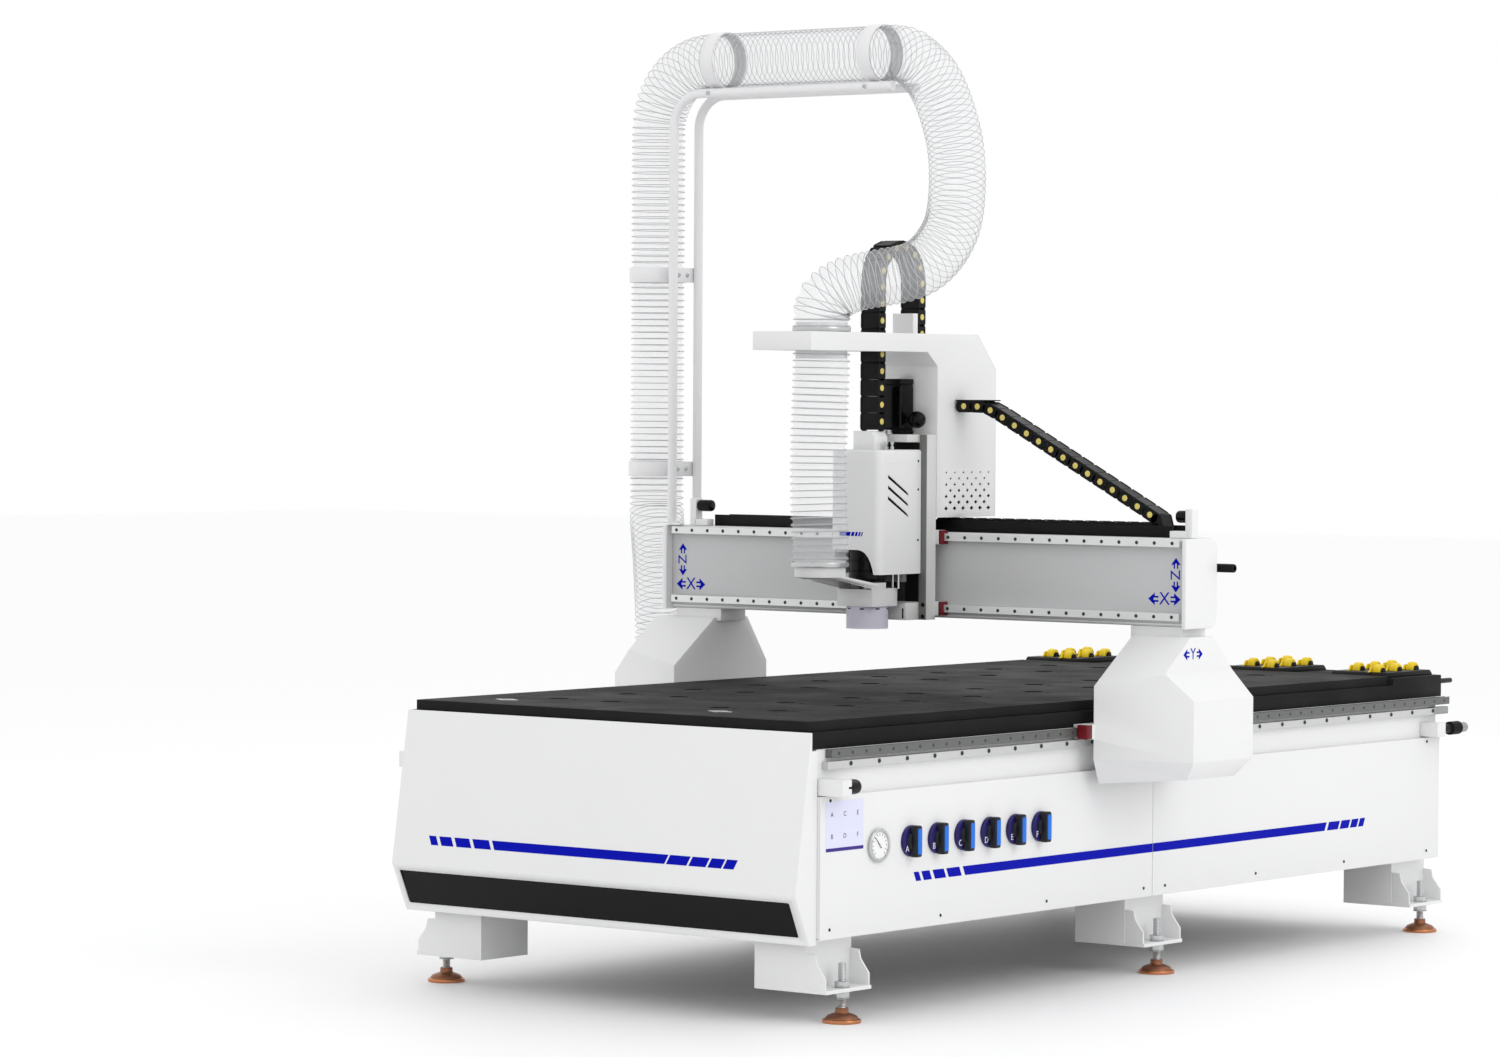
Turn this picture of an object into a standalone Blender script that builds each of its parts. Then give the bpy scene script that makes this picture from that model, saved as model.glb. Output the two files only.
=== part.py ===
# CNC router, 1300 x 2500 mm class: bed with vacuum table, travelling gantry,
# cross carriage and Z slide with spindle, dust shoe and overhead dust hose.
# Metres, +Z up. X runs along the gantry, Y along the bed (front is -Y).
# Everything is laid out from the middle of the table's front edge at floor
# level, and moved at the end so that the origin is under the middle of the
# whole machine's box.
import math

import bmesh
import bpy
from mathutils import Matrix, Vector

# ---- driving dimensions -------------------------------------------------
origin_x = -0.091
origin_y = 1.619
gap = 0.0003

table_half = 0.707
table_length = 3.226
table_bottom = 0.730
table_top = 0.803
base_slab_top = 0.775
vacuum_half = 0.690
vacuum_end = 2.935

frame_half = 0.705
frame_start = 0.020
frame_end = 3.195
frame_bottom = 0.229
panel_top = 0.606
panel_outer = 0.722
panel_seam = 1.586

foot_x = 0.701
foot_ys = (0.144, 1.642, 3.119)

rail_start = 0.060
rail_end = 3.242
y_rail_z = 0.7175
y_rack_z = 0.6865

beam_half = 0.935
beam_front = 1.4285
beam_back = 1.556
beam_bottom = 1.012
beam_top = 1.262
x_rail_half = 0.922
x_rail_front = 1.4075
x_rail_zs = (1.248, 1.040)

leg_inner = 0.760

hose_outer = 0.082
hose_inner = 0.078
spigot_outer = 0.0740
mast_x = -0.930
mast_ys = (1.420, 1.540)
mast_tube = 0.014
bar_z = 2.570
bar_end = -0.100
riser_x = -1.040
riser_y = 1.480
top_hose_z = 2.670

column_low_x = -0.131
column_high_x = 0.087
column_front = 1.345
column_back = 1.390

spindle_x = -0.022
spindle_y = 1.205
drop_x = -0.015
drop_y = 0.970

valve_y = 0.415
valve_pitch = 0.1212
valve_z = 0.465
valve_names = ("a", "b", "c", "d", "e", "f")

# colour, roughness, metallic
paints = {
    "white_paint": ((0.86, 0.86, 0.87), 0.35, 0.0),
    "grey_paint": ((0.62, 0.63, 0.64), 0.40, 0.0),
    "steel": ((0.55, 0.56, 0.57), 0.30, 1.0),
    "zinc": ((0.66, 0.67, 0.68), 0.25, 1.0),
    "bronze": ((0.45, 0.24, 0.13), 0.35, 1.0),
    "black_board": ((0.035, 0.035, 0.038), 0.55, 0.0),
    "black_plastic": ((0.03, 0.03, 0.03), 0.45, 0.0),
    "yellow_wheel": ((0.85, 0.70, 0.05), 0.45, 0.0),
    "handle_grey": ((0.09, 0.10, 0.12), 0.40, 0.0),
    "gauge": ((0.85, 0.85, 0.85), 0.20, 0.6),
    "clear_hose": ((0.86, 0.88, 0.90), 0.15, 0.0),
    "frosted_skirt": ((0.80, 0.80, 0.86), 0.45, 0.0),
}


# ---- helpers ------------------------------------------------------------
def clear_scene():
    for obj in list(bpy.data.objects):
        bpy.data.objects.remove(obj, do_unlink=True)


def add_object(name, bm):
    bmesh.ops.recalc_face_normals(bm, faces=bm.faces)
    mesh = bpy.data.meshes.new(name)
    bm.to_mesh(mesh)
    bm.free()
    obj = bpy.data.objects.new(name, mesh)
    bpy.context.scene.collection.objects.link(obj)
    return obj


def box(name, x_range, y_range, z_range):
    bm = bmesh.new()
    bmesh.ops.create_cube(bm, size=1.0)
    lows = Vector((x_range[0], y_range[0], z_range[0]))
    highs = Vector((x_range[1], y_range[1], z_range[1]))
    for vert in bm.verts:
        vert.co = Vector(lows[i] if vert.co[i] < 0 else highs[i] for i in range(3))
    return add_object(name, bm)


# an outline in the plane across `axis`, pushed along it from start to end
def prism(name, axis, outline, start, end):
    bm = bmesh.new()
    first, second = [i for i in range(3) if i != axis]
    rings = []
    for along in (start, end):
        ring = []
        for a, b in outline:
            co = [0.0, 0.0, 0.0]
            co[axis] = along
            co[first] = a
            co[second] = b
            ring.append(bm.verts.new(co))
        rings.append(ring)
    bm.faces.new(rings[0])
    bm.faces.new(rings[1])
    bmesh.ops.bridge_loops(bm, edges=[e for e in bm.edges])
    return add_object(name, bm)


# a profile of (radius, height) turned about an axis; radius 0 closes an end
def turned(name, axis, centre, profile, sides=24):
    bm = bmesh.new()
    first, second = [i for i in range(3) if i != axis]

    def spot(radius, height, turn):
        co = [0.0, 0.0, 0.0]
        co[axis] = height
        co[first] = centre[0] + radius * math.cos(turn)
        co[second] = centre[1] + radius * math.sin(turn)
        return bm.verts.new(co)

    rings = []
    for radius, height in profile:
        if radius == 0:
            rings.append([spot(0, height, 0)])
        else:
            rings.append([spot(radius, height, 2 * math.pi * k / sides) for k in range(sides)])
    pairs = list(zip(rings, rings[1:]))
    if profile[0][0] != 0:
        pairs.append((rings[-1], rings[0]))
    for low, high in pairs:
        for k in range(sides):
            n = (k + 1) % sides
            corners = [low[k % len(low)], low[n % len(low)], high[n % len(high)], high[k % len(high)]]
            corners = list(dict.fromkeys(corners))
            if len(corners) > 2:
                bm.faces.new(corners)
    obj = add_object(name, bm)
    obj.data.shade_smooth()
    obj.data.set_sharp_from_angle(angle=math.radians(35))
    return obj


def cylinder(name, axis, centre, radius, start, end, sides=24):
    return turned(name, axis, centre, [(0, start), (radius, start), (radius, end), (0, end)], sides)


def fuse(body, others, operation="UNION"):
    for other in others:
        joint = body.modifiers.new("joint", "BOOLEAN")
        joint.operation = operation
        joint.solver = "EXACT"
        joint.object = other
        bpy.context.view_layer.objects.active = body
        bpy.ops.object.modifier_apply(modifier=joint.name)
        bpy.data.objects.remove(other, do_unlink=True)
    return body


def cut(body, others):
    return fuse(body, others, "DIFFERENCE")


# points of a Catmull-Rom curve through the given route
def smooth_route(route, steps):
    points = [Vector(p) for p in route]
    padded = [2 * points[0] - points[1]] + points + [2 * points[-1] - points[-2]]
    result = []
    for i in range(1, len(padded) - 2):
        a, b, c, d = padded[i - 1:i + 3]
        for k in range(steps):
            t = k / steps
            result.append(0.5 * (2 * b + (c - a) * t + (2 * a - 5 * b + 4 * c - d) * t ** 2
                                 + (3 * b - a - 3 * c + d) * t ** 3))
    result.append(points[-1])
    return result


# section frames carried along a path without twist
def path_frames(path, start_side):
    frames = []
    side = Vector(start_side)
    for i, point in enumerate(path):
        ahead = path[min(i + 1, len(path) - 1)] - path[max(i - 1, 0)]
        ahead.normalize()
        side = (side - side.dot(ahead) * ahead).normalized()
        frames.append((point, side, ahead.cross(side)))
    return frames


def swept(name, frames, outlines):
    bm = bmesh.new()
    shells = []
    for outline in outlines:
        rings = []
        for point, side, up in frames:
            rings.append([bm.verts.new(point + a * side + b * up) for a, b in outline])
        for low, high in zip(rings, rings[1:]):
            for k in range(len(low)):
                n = (k + 1) % len(low)
                bm.faces.new((low[k], low[n], high[n], high[k]))
        shells.append(rings)
    for end in (0, -1):
        if len(shells) == 1:
            bm.faces.new(shells[0][end])
        else:
            outer, inner = shells[0][end], shells[1][end]
            for k in range(len(outer)):
                n = (k + 1) % len(outer)
                bm.faces.new((outer[k], outer[n], inner[n], inner[k]))
    return add_object(name, bm)


def round_outline(radius, sides):
    return [(radius * math.cos(2 * math.pi * k / sides), radius * math.sin(2 * math.pi * k / sides))
            for k in range(sides)]


def hose(name, path, sides=12):
    frames = path_frames(path, (0, 1, 0))
    obj = swept(name, frames, [round_outline(hose_outer, sides), round_outline(hose_inner, sides)])
    obj.data.shade_smooth()
    return obj


def finish(obj, paint, origin=(0.0, 0.0, 0.0)):
    colour, roughness, metallic = paints[paint]
    mat = bpy.data.materials.new(obj.name + "_" + paint)
    mat.use_nodes = True
    shader = mat.node_tree.nodes["Principled BSDF"]
    shader.inputs["Base Color"].default_value = (*colour, 1.0)
    shader.inputs["Roughness"].default_value = roughness
    shader.inputs["Metallic"].default_value = metallic
    obj.data.materials.clear()
    obj.data.materials.append(mat)
    place = Vector(origin)
    obj.data.transform(Matrix.Translation(-place))
    obj.location = place - Vector((origin_x, origin_y, 0.0))
    return obj


# mirrored X range for the left hand side
def span(side, low, high):
    return (low, high) if side > 0 else (-high, -low)


side_names = ((-1, "left"), (1, "right"))


# ---- bed ------------------------------------------------------------------
def hollow_beam(x_range, y_range, z_range, wall):
    beam = box("beam", x_range, y_range, z_range)
    bore = box("bore", (x_range[0] + wall, x_range[1] - wall), (y_range[0] - 0.1, y_range[1] + 0.1),
               (z_range[0] + wall, z_range[1] - wall))
    return cut(beam, [bore])


def channel(x_reach, y_mid, width, z_range, wall):
    low, high = y_mid - width / 2, y_mid + width / 2
    bottom, top = z_range
    outline = [(low, bottom), (low + wall, bottom), (low + wall, top - wall), (high - wall, top - wall),
               (high - wall, bottom), (high, bottom), (high, top), (low, top)]
    return prism("channel", 0, outline, -x_reach, x_reach)


def foot_box(side, y_mid):
    half = 0.099
    outer = box("foot_box", span(side, 0.484, 0.656), (y_mid - half, y_mid + half), (0.083, 0.233))
    bore = box("bore", span(side, 0.470, 0.650), (y_mid - half + 0.006, y_mid + half - 0.006), (0.089, 0.222))
    cut(outer, [bore])
    plate = box("plate", span(side, 0.652, 0.724), (y_mid - half, y_mid + half), (0.083, 0.093))
    hole = cylinder("hole", 2, (side * foot_x, y_mid), 0.0120, 0.07, 0.11, 16)
    cut(plate, [hole])
    outline = [(side * x, z) for x, z in ((0.650, 0.084), (0.719, 0.084), (0.719, 0.125), (0.691, 0.161),
                                          (0.685, 0.186), (0.656, 0.188), (0.656, 0.225), (0.650, 0.225))]
    gussets = [prism("gusset", 1, outline, y, y + 0.006) for y in (y_mid - half + 0.001, y_mid + half - 0.007)]
    return fuse(outer, [plate] + gussets)


def bed_frame():
    wall = 0.008
    long_run = (frame_start, frame_end)
    frame = hollow_beam((0.600, frame_half), long_run, (0.600, table_bottom - gap), wall)
    frame.name = "bed_frame"
    parts = [hollow_beam((-frame_half, -0.600), long_run, (0.600, table_bottom - gap), wall)]
    for side, _ in side_names:
        parts.append(hollow_beam(span(side, 0.640, 0.703), long_run, (frame_bottom, 0.300), wall))
        for post_y in (0.060, 0.840, 1.600, 2.360, 3.100):
            parts.append(box("post", span(side, 0.648, 0.700), (post_y, post_y + 0.060), (0.296, 0.604)))
    for cross_y in (0.080, 0.680, 1.280, 1.880, 2.480, 3.080):
        parts.append(channel(0.604, cross_y, 0.080, (0.640, table_bottom - gap), 0.006))
    for foot_y in foot_ys:
        parts.append(channel(0.644, foot_y, 0.120, (frame_bottom + 0.001, 0.296), 0.006))
        for side, _ in side_names:
            parts.append(foot_box(side, foot_y))
    parts.append(box("rear_wall", (-0.650, 0.650), (3.150, 3.156), (0.296, 0.645)))
    return finish(fuse(frame, parts), "white_paint")


def levelling_foot(name, x_mid, y_mid):
    pad = 0.052
    stud = 0.0110
    nut = 0.0200
    profile = [(0, 0), (pad, 0), (pad, 0.010), (0.040, 0.022), (0.018, 0.030), (stud, 0.040),
               (stud, 0.0640), (nut, 0.0645), (nut, 0.083 - gap), (stud, 0.083 - gap), (stud, 0.093 + gap),
               (nut, 0.093 + gap), (nut, 0.111), (stud, 0.1115), (stud, 0.160), (0, 0.160)]
    return finish(turned(name, 2, (x_mid, y_mid), profile, 12), "bronze")


def front_cover():
    half = 0.712
    outline = [(-0.008, 0.775), (-0.074, 0.350), (-0.012, 0.215), (0.0185, 0.215), (0.0185, 0.727),
               (-0.0045, 0.727), (-0.0045, 0.775)]
    inner = [(-0.0126, 0.724), (-0.0705, 0.350), (-0.0098, 0.218), (0.030, 0.218), (0.030, 0.724)]
    shell = prism("front_cover", 0, outline, -half, half)
    hollow = prism("hollow", 0, inner, -half + 0.003, half - 0.003)
    return finish(cut(shell, [hollow]), "white_paint")


def side_panel(side, side_name, end_name, y_start, y_end):
    outline = [(side * x, z) for x, z in ((0.7053, 0.228), (panel_outer, 0.228), (panel_outer, panel_top),
                                          (0.7053, panel_top), (0.7053, 0.603), (0.719, 0.603),
                                          (0.719, 0.231), (0.7053, 0.231))]
    panel = prism("side_panel_" + side_name + "_" + end_name, 1, outline, y_start, y_end)
    return finish(panel, "white_paint")


def y_rail(side, side_name):
    base, face, groove = 0.7053, 0.728, 0.0035
    low, high = y_rail_z - 0.0115, y_rail_z + 0.0115
    outline = [(side * x, z) for x, z in ((base, low), (0.711, low), (0.715, low + groove), (0.720, low + groove),
                                          (0.724, low), (face, low), (face, high), (0.724, high),
                                          (0.720, high - groove), (0.715, high - groove), (0.711, high),
                                          (base, high))]
    return finish(prism("y_rail_" + side_name, 1, outline, rail_start, rail_end), "steel")


def y_rack(side, side_name):
    rack = box("y_rack_" + side_name, span(side, 0.7053, 0.7253), (0.045, rail_end - 0.004),
               (y_rack_z - 0.0105, y_rack_z + 0.0105))
    return finish(rack, "steel")


def table_base():
    outline = [(0.0, table_bottom), (table_length, table_bottom), (table_length, 0.797), (vacuum_end + 0.001, 0.797),
               (vacuum_end + 0.001, base_slab_top), (0.0, base_slab_top)]
    return finish(prism("table_base", 0, outline, -table_half, table_half), "black_board")


def vacuum_table():
    slab = box("vacuum_table", (-vacuum_half, vacuum_half), (0.002, vacuum_end), (base_slab_top + gap, table_top))
    return finish(slab, "black_board")


def y_stop(side, side_name):
    reach = 0.794 if side > 0 else 0.772
    block = box("y_stop_" + side_name, span(side, 0.7053, reach), (0.0195, 0.062), (0.6085, 0.654))
    buffer = turned("buffer", 1, (side * (reach - 0.021), 0.632),
                    [(0, 0.055), (0.0195, 0.055), (0.0205, 0.104), (0.017, 0.110), (0, 0.110)], 16)
    return finish(fuse(block, [buffer]), "white_paint")


def feed_roller(index):
    wide, pitch = 0.200, 0.100
    middle = -0.5805 + 0.387 * index
    start, end = vacuum_end + 0.0015, 3.2180
    top = 0.815
    outline = [(start, 0.7973), (end, 0.7973), (end - 0.012, top), (start + 0.010, top)]
    unit = prism("feed_roller_" + str(index + 1), 0, outline, middle - wide / 2, middle + wide / 2)
    wheels = []
    for row, shift in ((-1, 0.088), (1, 0.038)):
        for k in range(3):
            x_mid = middle + row * 0.052
            wheels.append(cylinder("wheel", 0, (start + shift + pitch * k, 0.8135), 0.0235,
                                   x_mid - 0.013, x_mid + 0.013, 14))
    bottom = box("bottom", (middle - 0.2, middle + 0.2), (start - 0.05, end + 0.05), (0.75, 0.7973))
    fuse(unit, wheels)
    return finish(cut(unit, [bottom]), "yellow_wheel")


def valve_handle(index):
    y_mid = valve_y + valve_pitch * index
    start = panel_outer + gap
    knob = turned("valve_handle_" + valve_names[index], 0, (y_mid, valve_z),
                  [(0, start), (0.041, start), (0.041, start + 0.010), (0.036, start + 0.014),
                   (0.024, start + 0.016), (0.024, start + 0.022), (0, start + 0.022)], 20)
    grip = box("grip", (start + 0.012, start + 0.036), (y_mid - 0.018, y_mid + 0.010),
               (valve_z - 0.043, valve_z + 0.043))
    return finish(fuse(knob, [grip]), "handle_grey", (start, y_mid, valve_z))


def vacuum_gauge():
    start = panel_outer + gap
    gauge = turned("vacuum_gauge", 0, (0.268, 0.463),
                   [(0, start), (0.0430, start), (0.0430, start + 0.004), (0.0455, start + 0.005),
                    (0.0455, start + 0.011), (0.041, start + 0.013), (0.039, start + 0.010), (0, start + 0.010)], 28)
    return finish(gauge, "gauge")


def air_coupling():
    block = box("air_coupling", (0.7053, 0.770), (3.100, 3.150), (0.610, 0.654))
    pipe = turned("pipe", 1, (0.748, 0.632),
                  [(0, 3.140), (0.014, 3.140), (0.014, 3.205), (0.021, 3.206), (0.021, 3.262), (0.016, 3.263),
                   (0.016, 3.300), (0, 3.300)], 16)
    return finish(fuse(block, [pipe]), "black_plastic")


def table_gland():
    rod = turned("table_gland", 1, (0.690, 0.776),
                 [(0, table_length + gap), (0.013, table_length + gap), (0.013, table_length + 0.012),
                  (0.008, table_length + 0.013), (0.008, 3.312), (0, 3.312)], 12)
    return finish(rod, "black_plastic")


def bed():
    bed_frame()
    front_cover()
    for foot_index, foot_y in enumerate(foot_ys):
        for side, side_name in side_names:
            levelling_foot("levelling_foot_" + side_name + "_" + str(foot_index + 1), side * foot_x, foot_y)
    for side, side_name in side_names:
        side_panel(side, side_name, "front", 0.0190, panel_seam - 0.001)
        side_panel(side, side_name, "rear", panel_seam + 0.001, 3.193)
        y_rail(side, side_name)
        y_rack(side, side_name)
        y_stop(side, side_name)
    table_base()
    vacuum_table()
    for index in range(4):
        feed_roller(index)
    for index in range(len(valve_names)):
        valve_handle(index)
    vacuum_gauge()
    air_coupling()
    table_gland()


# ---- gantry ---------------------------------------------------------------
def gantry_beam():
    wall = 0.010
    beam = box("gantry_beam", (-beam_half, beam_half), (beam_front, beam_back), (beam_bottom, beam_top))
    bore = box("bore", (-1.1, 1.1), (beam_front + wall, beam_back - wall), (beam_bottom + wall, beam_top - wall))
    return finish(cut(beam, [bore]), "grey_paint")


def beam_end_cover(side, side_name):
    corner = 0.028
    low, high, bottom, top = 1.400, 1.560, 1.007, beam_top
    outline = [(low, bottom), (high - corner, bottom), (high - corner * 0.3, bottom + corner * 0.3),
               (high, bottom + corner), (high, top - corner), (high - corner * 0.3, top - corner * 0.3),
               (high - corner, top), (low, top)]
    start, end = span(side, beam_half + gap, beam_half + 0.016)
    return finish(prism("beam_end_cover_" + side_name, 0, outline, start, end), "white_paint")


# the casting and its cover are one body: rings of four corners, top to bottom
def gantry_leg(side, side_name):
    def corners(front_in, back_in, front_out, back_out, outer):
        return [(leg_inner, front_in), (outer, front_out), (outer, back_out), (leg_inner, back_in)]

    levels = [
        ((0.985,) * 4, corners(1.417, 1.578, 1.395, 1.512, 0.971)),
        ((0.848, 0.888, 0.888, 0.848), corners(1.225, 1.674, 1.268, 1.612, 0.971)),
        ((0.812, 0.814, 0.814, 0.812), corners(1.225, 1.674, 1.295, 1.600, 1.050)),
        ((0.642,) * 4, corners(1.225, 1.674, 1.295, 1.600, 1.050)),
        ((0.572, 0.590, 0.590, 0.572), corners(1.252, 1.648, 1.330, 1.575, 1.005)),
    ]
    bm = bmesh.new()
    rings = []
    for heights, spots in levels:
        rings.append([bm.verts.new((side * x, y, z)) for (x, y), z in zip(spots, heights)])
    for low, high in zip(rings, rings[1:]):
        for k in range(4):
            n = (k + 1) % 4
            bm.faces.new((low[k], low[n], high[n], high[k]))
    bm.faces.new(rings[0])
    bm.faces.new(rings[-1])
    bmesh.ops.triangulate(bm, faces=[f for f in bm.faces])
    leg = add_object("gantry_leg_" + side_name, bm)
    seat = box("seat", span(side, 0.745, 0.920), (1.430, 1.550), (0.975, beam_bottom - gap))
    parts = [seat]
    for block_y in (1.199, 1.525):
        block = box("block", span(side, 0.7095, 0.764), (block_y, block_y + 0.090), (0.6985, 0.7400))
        slot = box("slot", span(side, 0.700, 0.7290), (block_y - 0.01, block_y + 0.1),
                   (y_rail_z - 0.0125, y_rail_z + 0.0125))
        parts.append(cut(block, [slot]))
    return finish(fuse(leg, parts), "white_paint")


def x_rail(row_name, z_mid):
    face, base = x_rail_front, beam_front - gap
    low, high = z_mid - 0.011, z_mid + 0.011
    groove = 0.0035
    outline = [(face, low), (face + 0.004, low), (face + 0.008, low + groove), (face + 0.012, low + groove),
               (face + 0.015, low), (base, low), (base, high), (face + 0.015, high), (face + 0.012, high - groove),
               (face + 0.008, high - groove), (face + 0.004, high), (face, high)]
    return finish(prism("x_rail_" + row_name, 0, outline, -x_rail_half, x_rail_half), "steel")


def x_rack():
    rack = box("x_rack", (-x_rail_half, x_rail_half), (beam_back + gap, beam_back + 0.020), (1.235, 1.256))
    return finish(rack, "steel")


def chain_tray():
    low, high, bottom, top, wall = 1.466, 1.540, beam_top + gap, 1.296, 0.003
    outline = [(low, bottom), (high, bottom), (high, top), (high - wall, top), (high - wall, bottom + wall),
               (low + wall, bottom + wall), (low + wall, top), (low, top)]
    return finish(prism("chain_tray", 0, outline, -0.800, 0.862), "black_plastic")


def x_stop(side, side_name):
    depth = (1.430, 1.4625)
    post, foot_end, tip = (0.9260, 0.874, 0.892) if side > 0 else (0.8440, 0.800, 0.800)
    block = box("x_stop_" + side_name, span(side, post, post + 0.024), depth, (beam_top + gap, 1.345))
    foot = box("foot", span(side, foot_end, post + 0.010), depth, (beam_top + gap, 1.283))
    near, far = post + 0.004, tip if side > 0 else tip - 0.008
    buffer = cylinder("buffer", 0, (1.446, 1.323), 0.0175, *span(side, far, near), 16)
    return finish(fuse(block, [foot, buffer]), "white_paint")


def beam_rear_rod():
    rod = cylinder("beam_rear_rod", 0, (1.590, 1.176), 0.0125, 0.800, 0.990, 16)
    clip = box("clip", (0.830, 0.850), (beam_back + gap, 1.590), (1.166, 1.186))
    return finish(fuse(rod, [clip]), "black_plastic")


def mast_route(y_mid):
    bend = 0.100
    corner = (mast_x + bend, bar_z - bend)
    route = [Vector((mast_x, y_mid, beam_top + gap)), Vector((mast_x, y_mid, 1.9))]
    for k in range(7):
        turn = math.pi - k * math.pi / 12
        route.append(Vector((corner[0] + bend * math.cos(turn), y_mid, corner[1] + bend * math.sin(turn))))
    route.append(Vector((bar_end, y_mid, bar_z)))
    return route


def clamp_band(axis, centre, middle):
    inner, outer, half = hose_outer + 0.0018, hose_outer + 0.0053, 0.0230
    return turned("band", axis, centre,
                  [(inner, middle - half), (outer, middle - half), (outer, middle + half), (inner, middle + half)], 20)


def hose_mast():
    tubes = [swept("hose_mast", path_frames(mast_route(y_mid), (0, 1, 0)), [round_outline(mast_tube, 10)])
             for y_mid in mast_ys]
    parts = [tubes[1]]
    for y_mid in mast_ys:
        parts.append(box("shoe", (mast_x - 0.004, mast_x + 0.040), (y_mid - 0.012, y_mid + 0.012),
                         (beam_top + gap, beam_top + 0.008)))
    for z_mid in (2.024, 1.432):
        parts.append(clamp_band(2, (riser_x, riser_y), z_mid))
        parts.append(box("tab", (riser_x + hose_outer + 0.002, mast_x), (mast_ys[0] - 0.006, mast_ys[1] + 0.010),
                         (z_mid - 0.0225, z_mid + 0.0225)))
    for x_mid in (-0.788, -0.196):
        parts.append(clamp_band(0, (riser_y, top_hose_z), x_mid))
        parts.append(box("saddle", (x_mid - 0.0225, x_mid + 0.0225), (mast_ys[0] - 0.004, mast_ys[1] + 0.004),
                         (bar_z + 0.008, top_hose_z - hose_outer - 0.0015)))
    return finish(fuse(tubes[0], parts), "white_paint")


def riser_path():
    low = [Vector((-1.150, 1.640, 0.600)), Vector((-1.150, 1.640, 0.720))]
    sway = smooth_route([(-1.150, 1.640, 0.840), (-1.140, 1.628, 0.980), (-1.096, 1.564, 1.140),
                         (-1.048, 1.491, 1.280), (riser_x, riser_y, 1.360)], 3)
    bend = 0.205
    corner = (riser_x + bend, top_hose_z - bend)
    arc = []
    for k in range(11):
        turn = math.pi - k * math.pi / 20
        arc.append(Vector((corner[0] + bend * math.cos(turn), riser_y, corner[1] + bend * math.sin(turn))))
    straight = [Vector((riser_x, riser_y, z)) for z in (1.385, 1.60, 1.80, 2.00, 2.22)]
    return low + sway + straight + arc + [Vector((x, riser_y, top_hose_z)) for x in (-0.82, -0.60, -0.40, -0.170)]


def x_chain():
    low, high = 1.4715, 1.5315
    outline = [(0.0935, 1.611), (0.200, 1.611), (0.780, 1.304), (0.020, 1.304), (0.020, 1.2665), (0.820, 1.2665),
               (0.846, 1.274), (0.856, 1.292), (0.850, 1.306), (0.226, 1.641), (0.206, 1.649), (0.0935, 1.649)]
    return finish(prism("x_chain", 1, outline, low, high), "black_plastic")


def gantry():
    gantry_beam()
    x_rail("upper", x_rail_zs[0])
    x_rail("lower", x_rail_zs[1])
    x_rack()
    for side, side_name in side_names:
        gantry_leg(side, side_name)
        beam_end_cover(side, side_name)
        x_stop(side, side_name)
    chain_tray()
    beam_rear_rod()
    hose_mast()
    finish(hose("hose_riser", riser_path()), "clear_hose")
    x_chain()


# ---- cross carriage -------------------------------------------------------
def column():
    body = box("column", (column_low_x, column_high_x), (column_front, column_back), (1.008, 1.547))
    parts = [box("bearing", (-0.100, 0.056), (1.288, column_front + 0.001), (1.008, 1.058)),
             box("shelf", (-0.100, 0.056), (1.288, column_front + 0.001), (1.525, 1.547))]
    for rail_z in x_rail_zs:
        for start in (-0.1395, 0.0055):
            block = box("block", (start, start + 0.090), (column_back - 0.002, 1.4265),
                        (rail_z - 0.0205, rail_z + 0.0205))
            slot = box("slot", (start - 0.01, start + 0.10), (x_rail_front - 0.0012, 1.44),
                       (rail_z - 0.0122, rail_z + 0.0122))
            parts.append(cut(block, [slot]))
    return finish(fuse(body, parts), "grey_paint")


def carriage_cover():
    low_x, high_x, wall = -0.120, 0.090, 0.003
    outer = [(0.786, 1.787), (1.340, 1.787), (1.3905, 1.745), (1.3905, 1.305), (1.683, 1.305), (1.683, 1.738),
             (1.640, 1.840), (0.786, 1.840)]
    inner = [(0.789, 1.790), (1.341, 1.790), (1.3935, 1.7465), (1.3935, 1.290), (1.680, 1.290), (1.680, 1.7375),
             (1.638, 1.837), (0.789, 1.837)]
    shell = prism("carriage_cover", 0, outer, low_x, high_x)
    cut(shell, [prism("inside", 0, inner, low_x + wall, high_x - wall)])
    slots = [box("front_slot", (-0.075, 0.009), (1.212, 1.268), (1.75, 1.86)),
             box("rear_slot", (-0.075, 0.009), (1.408, 1.460), (1.80, 1.86)),
             cylinder("hose_hole", 2, (drop_x, drop_y), spigot_outer - 0.001, 1.75, 1.86, 24)]
    cut(shell, slots)
    spigot = turned("spigot", 2, (drop_x, drop_y),
                    [(spigot_outer - 0.003, 1.765), (spigot_outer, 1.765), (spigot_outer, 1.868),
                      (spigot_outer - 0.003, 1.868)], 24)
    bracket = box("bracket", (-0.070, 0.004), (1.384, 1.407), (1.836, 1.900))
    return finish(fuse(shell, [spigot, bracket]), "white_paint")


def z_motor():
    side = 0.066
    motor = box("z_motor", (spindle_x - side / 2, spindle_x + side / 2), (1.316, 1.382), (1.547 + gap, 1.709))
    boss = cylinder("boss", 0, (1.349, 1.588), 0.010, spindle_x + 0.030, 0.036, 12)
    knob = turned("knob", 0, (1.349, 1.588),
                  [(0, 0.034)] + [(0.025 * math.sin(math.pi * k / 8), 0.059 - 0.025 * math.cos(math.pi * k / 8))
                                  for k in range(1, 8)] + [(0, 0.084)], 16)
    return finish(fuse(motor, [boss, knob]), "black_plastic")


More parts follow.
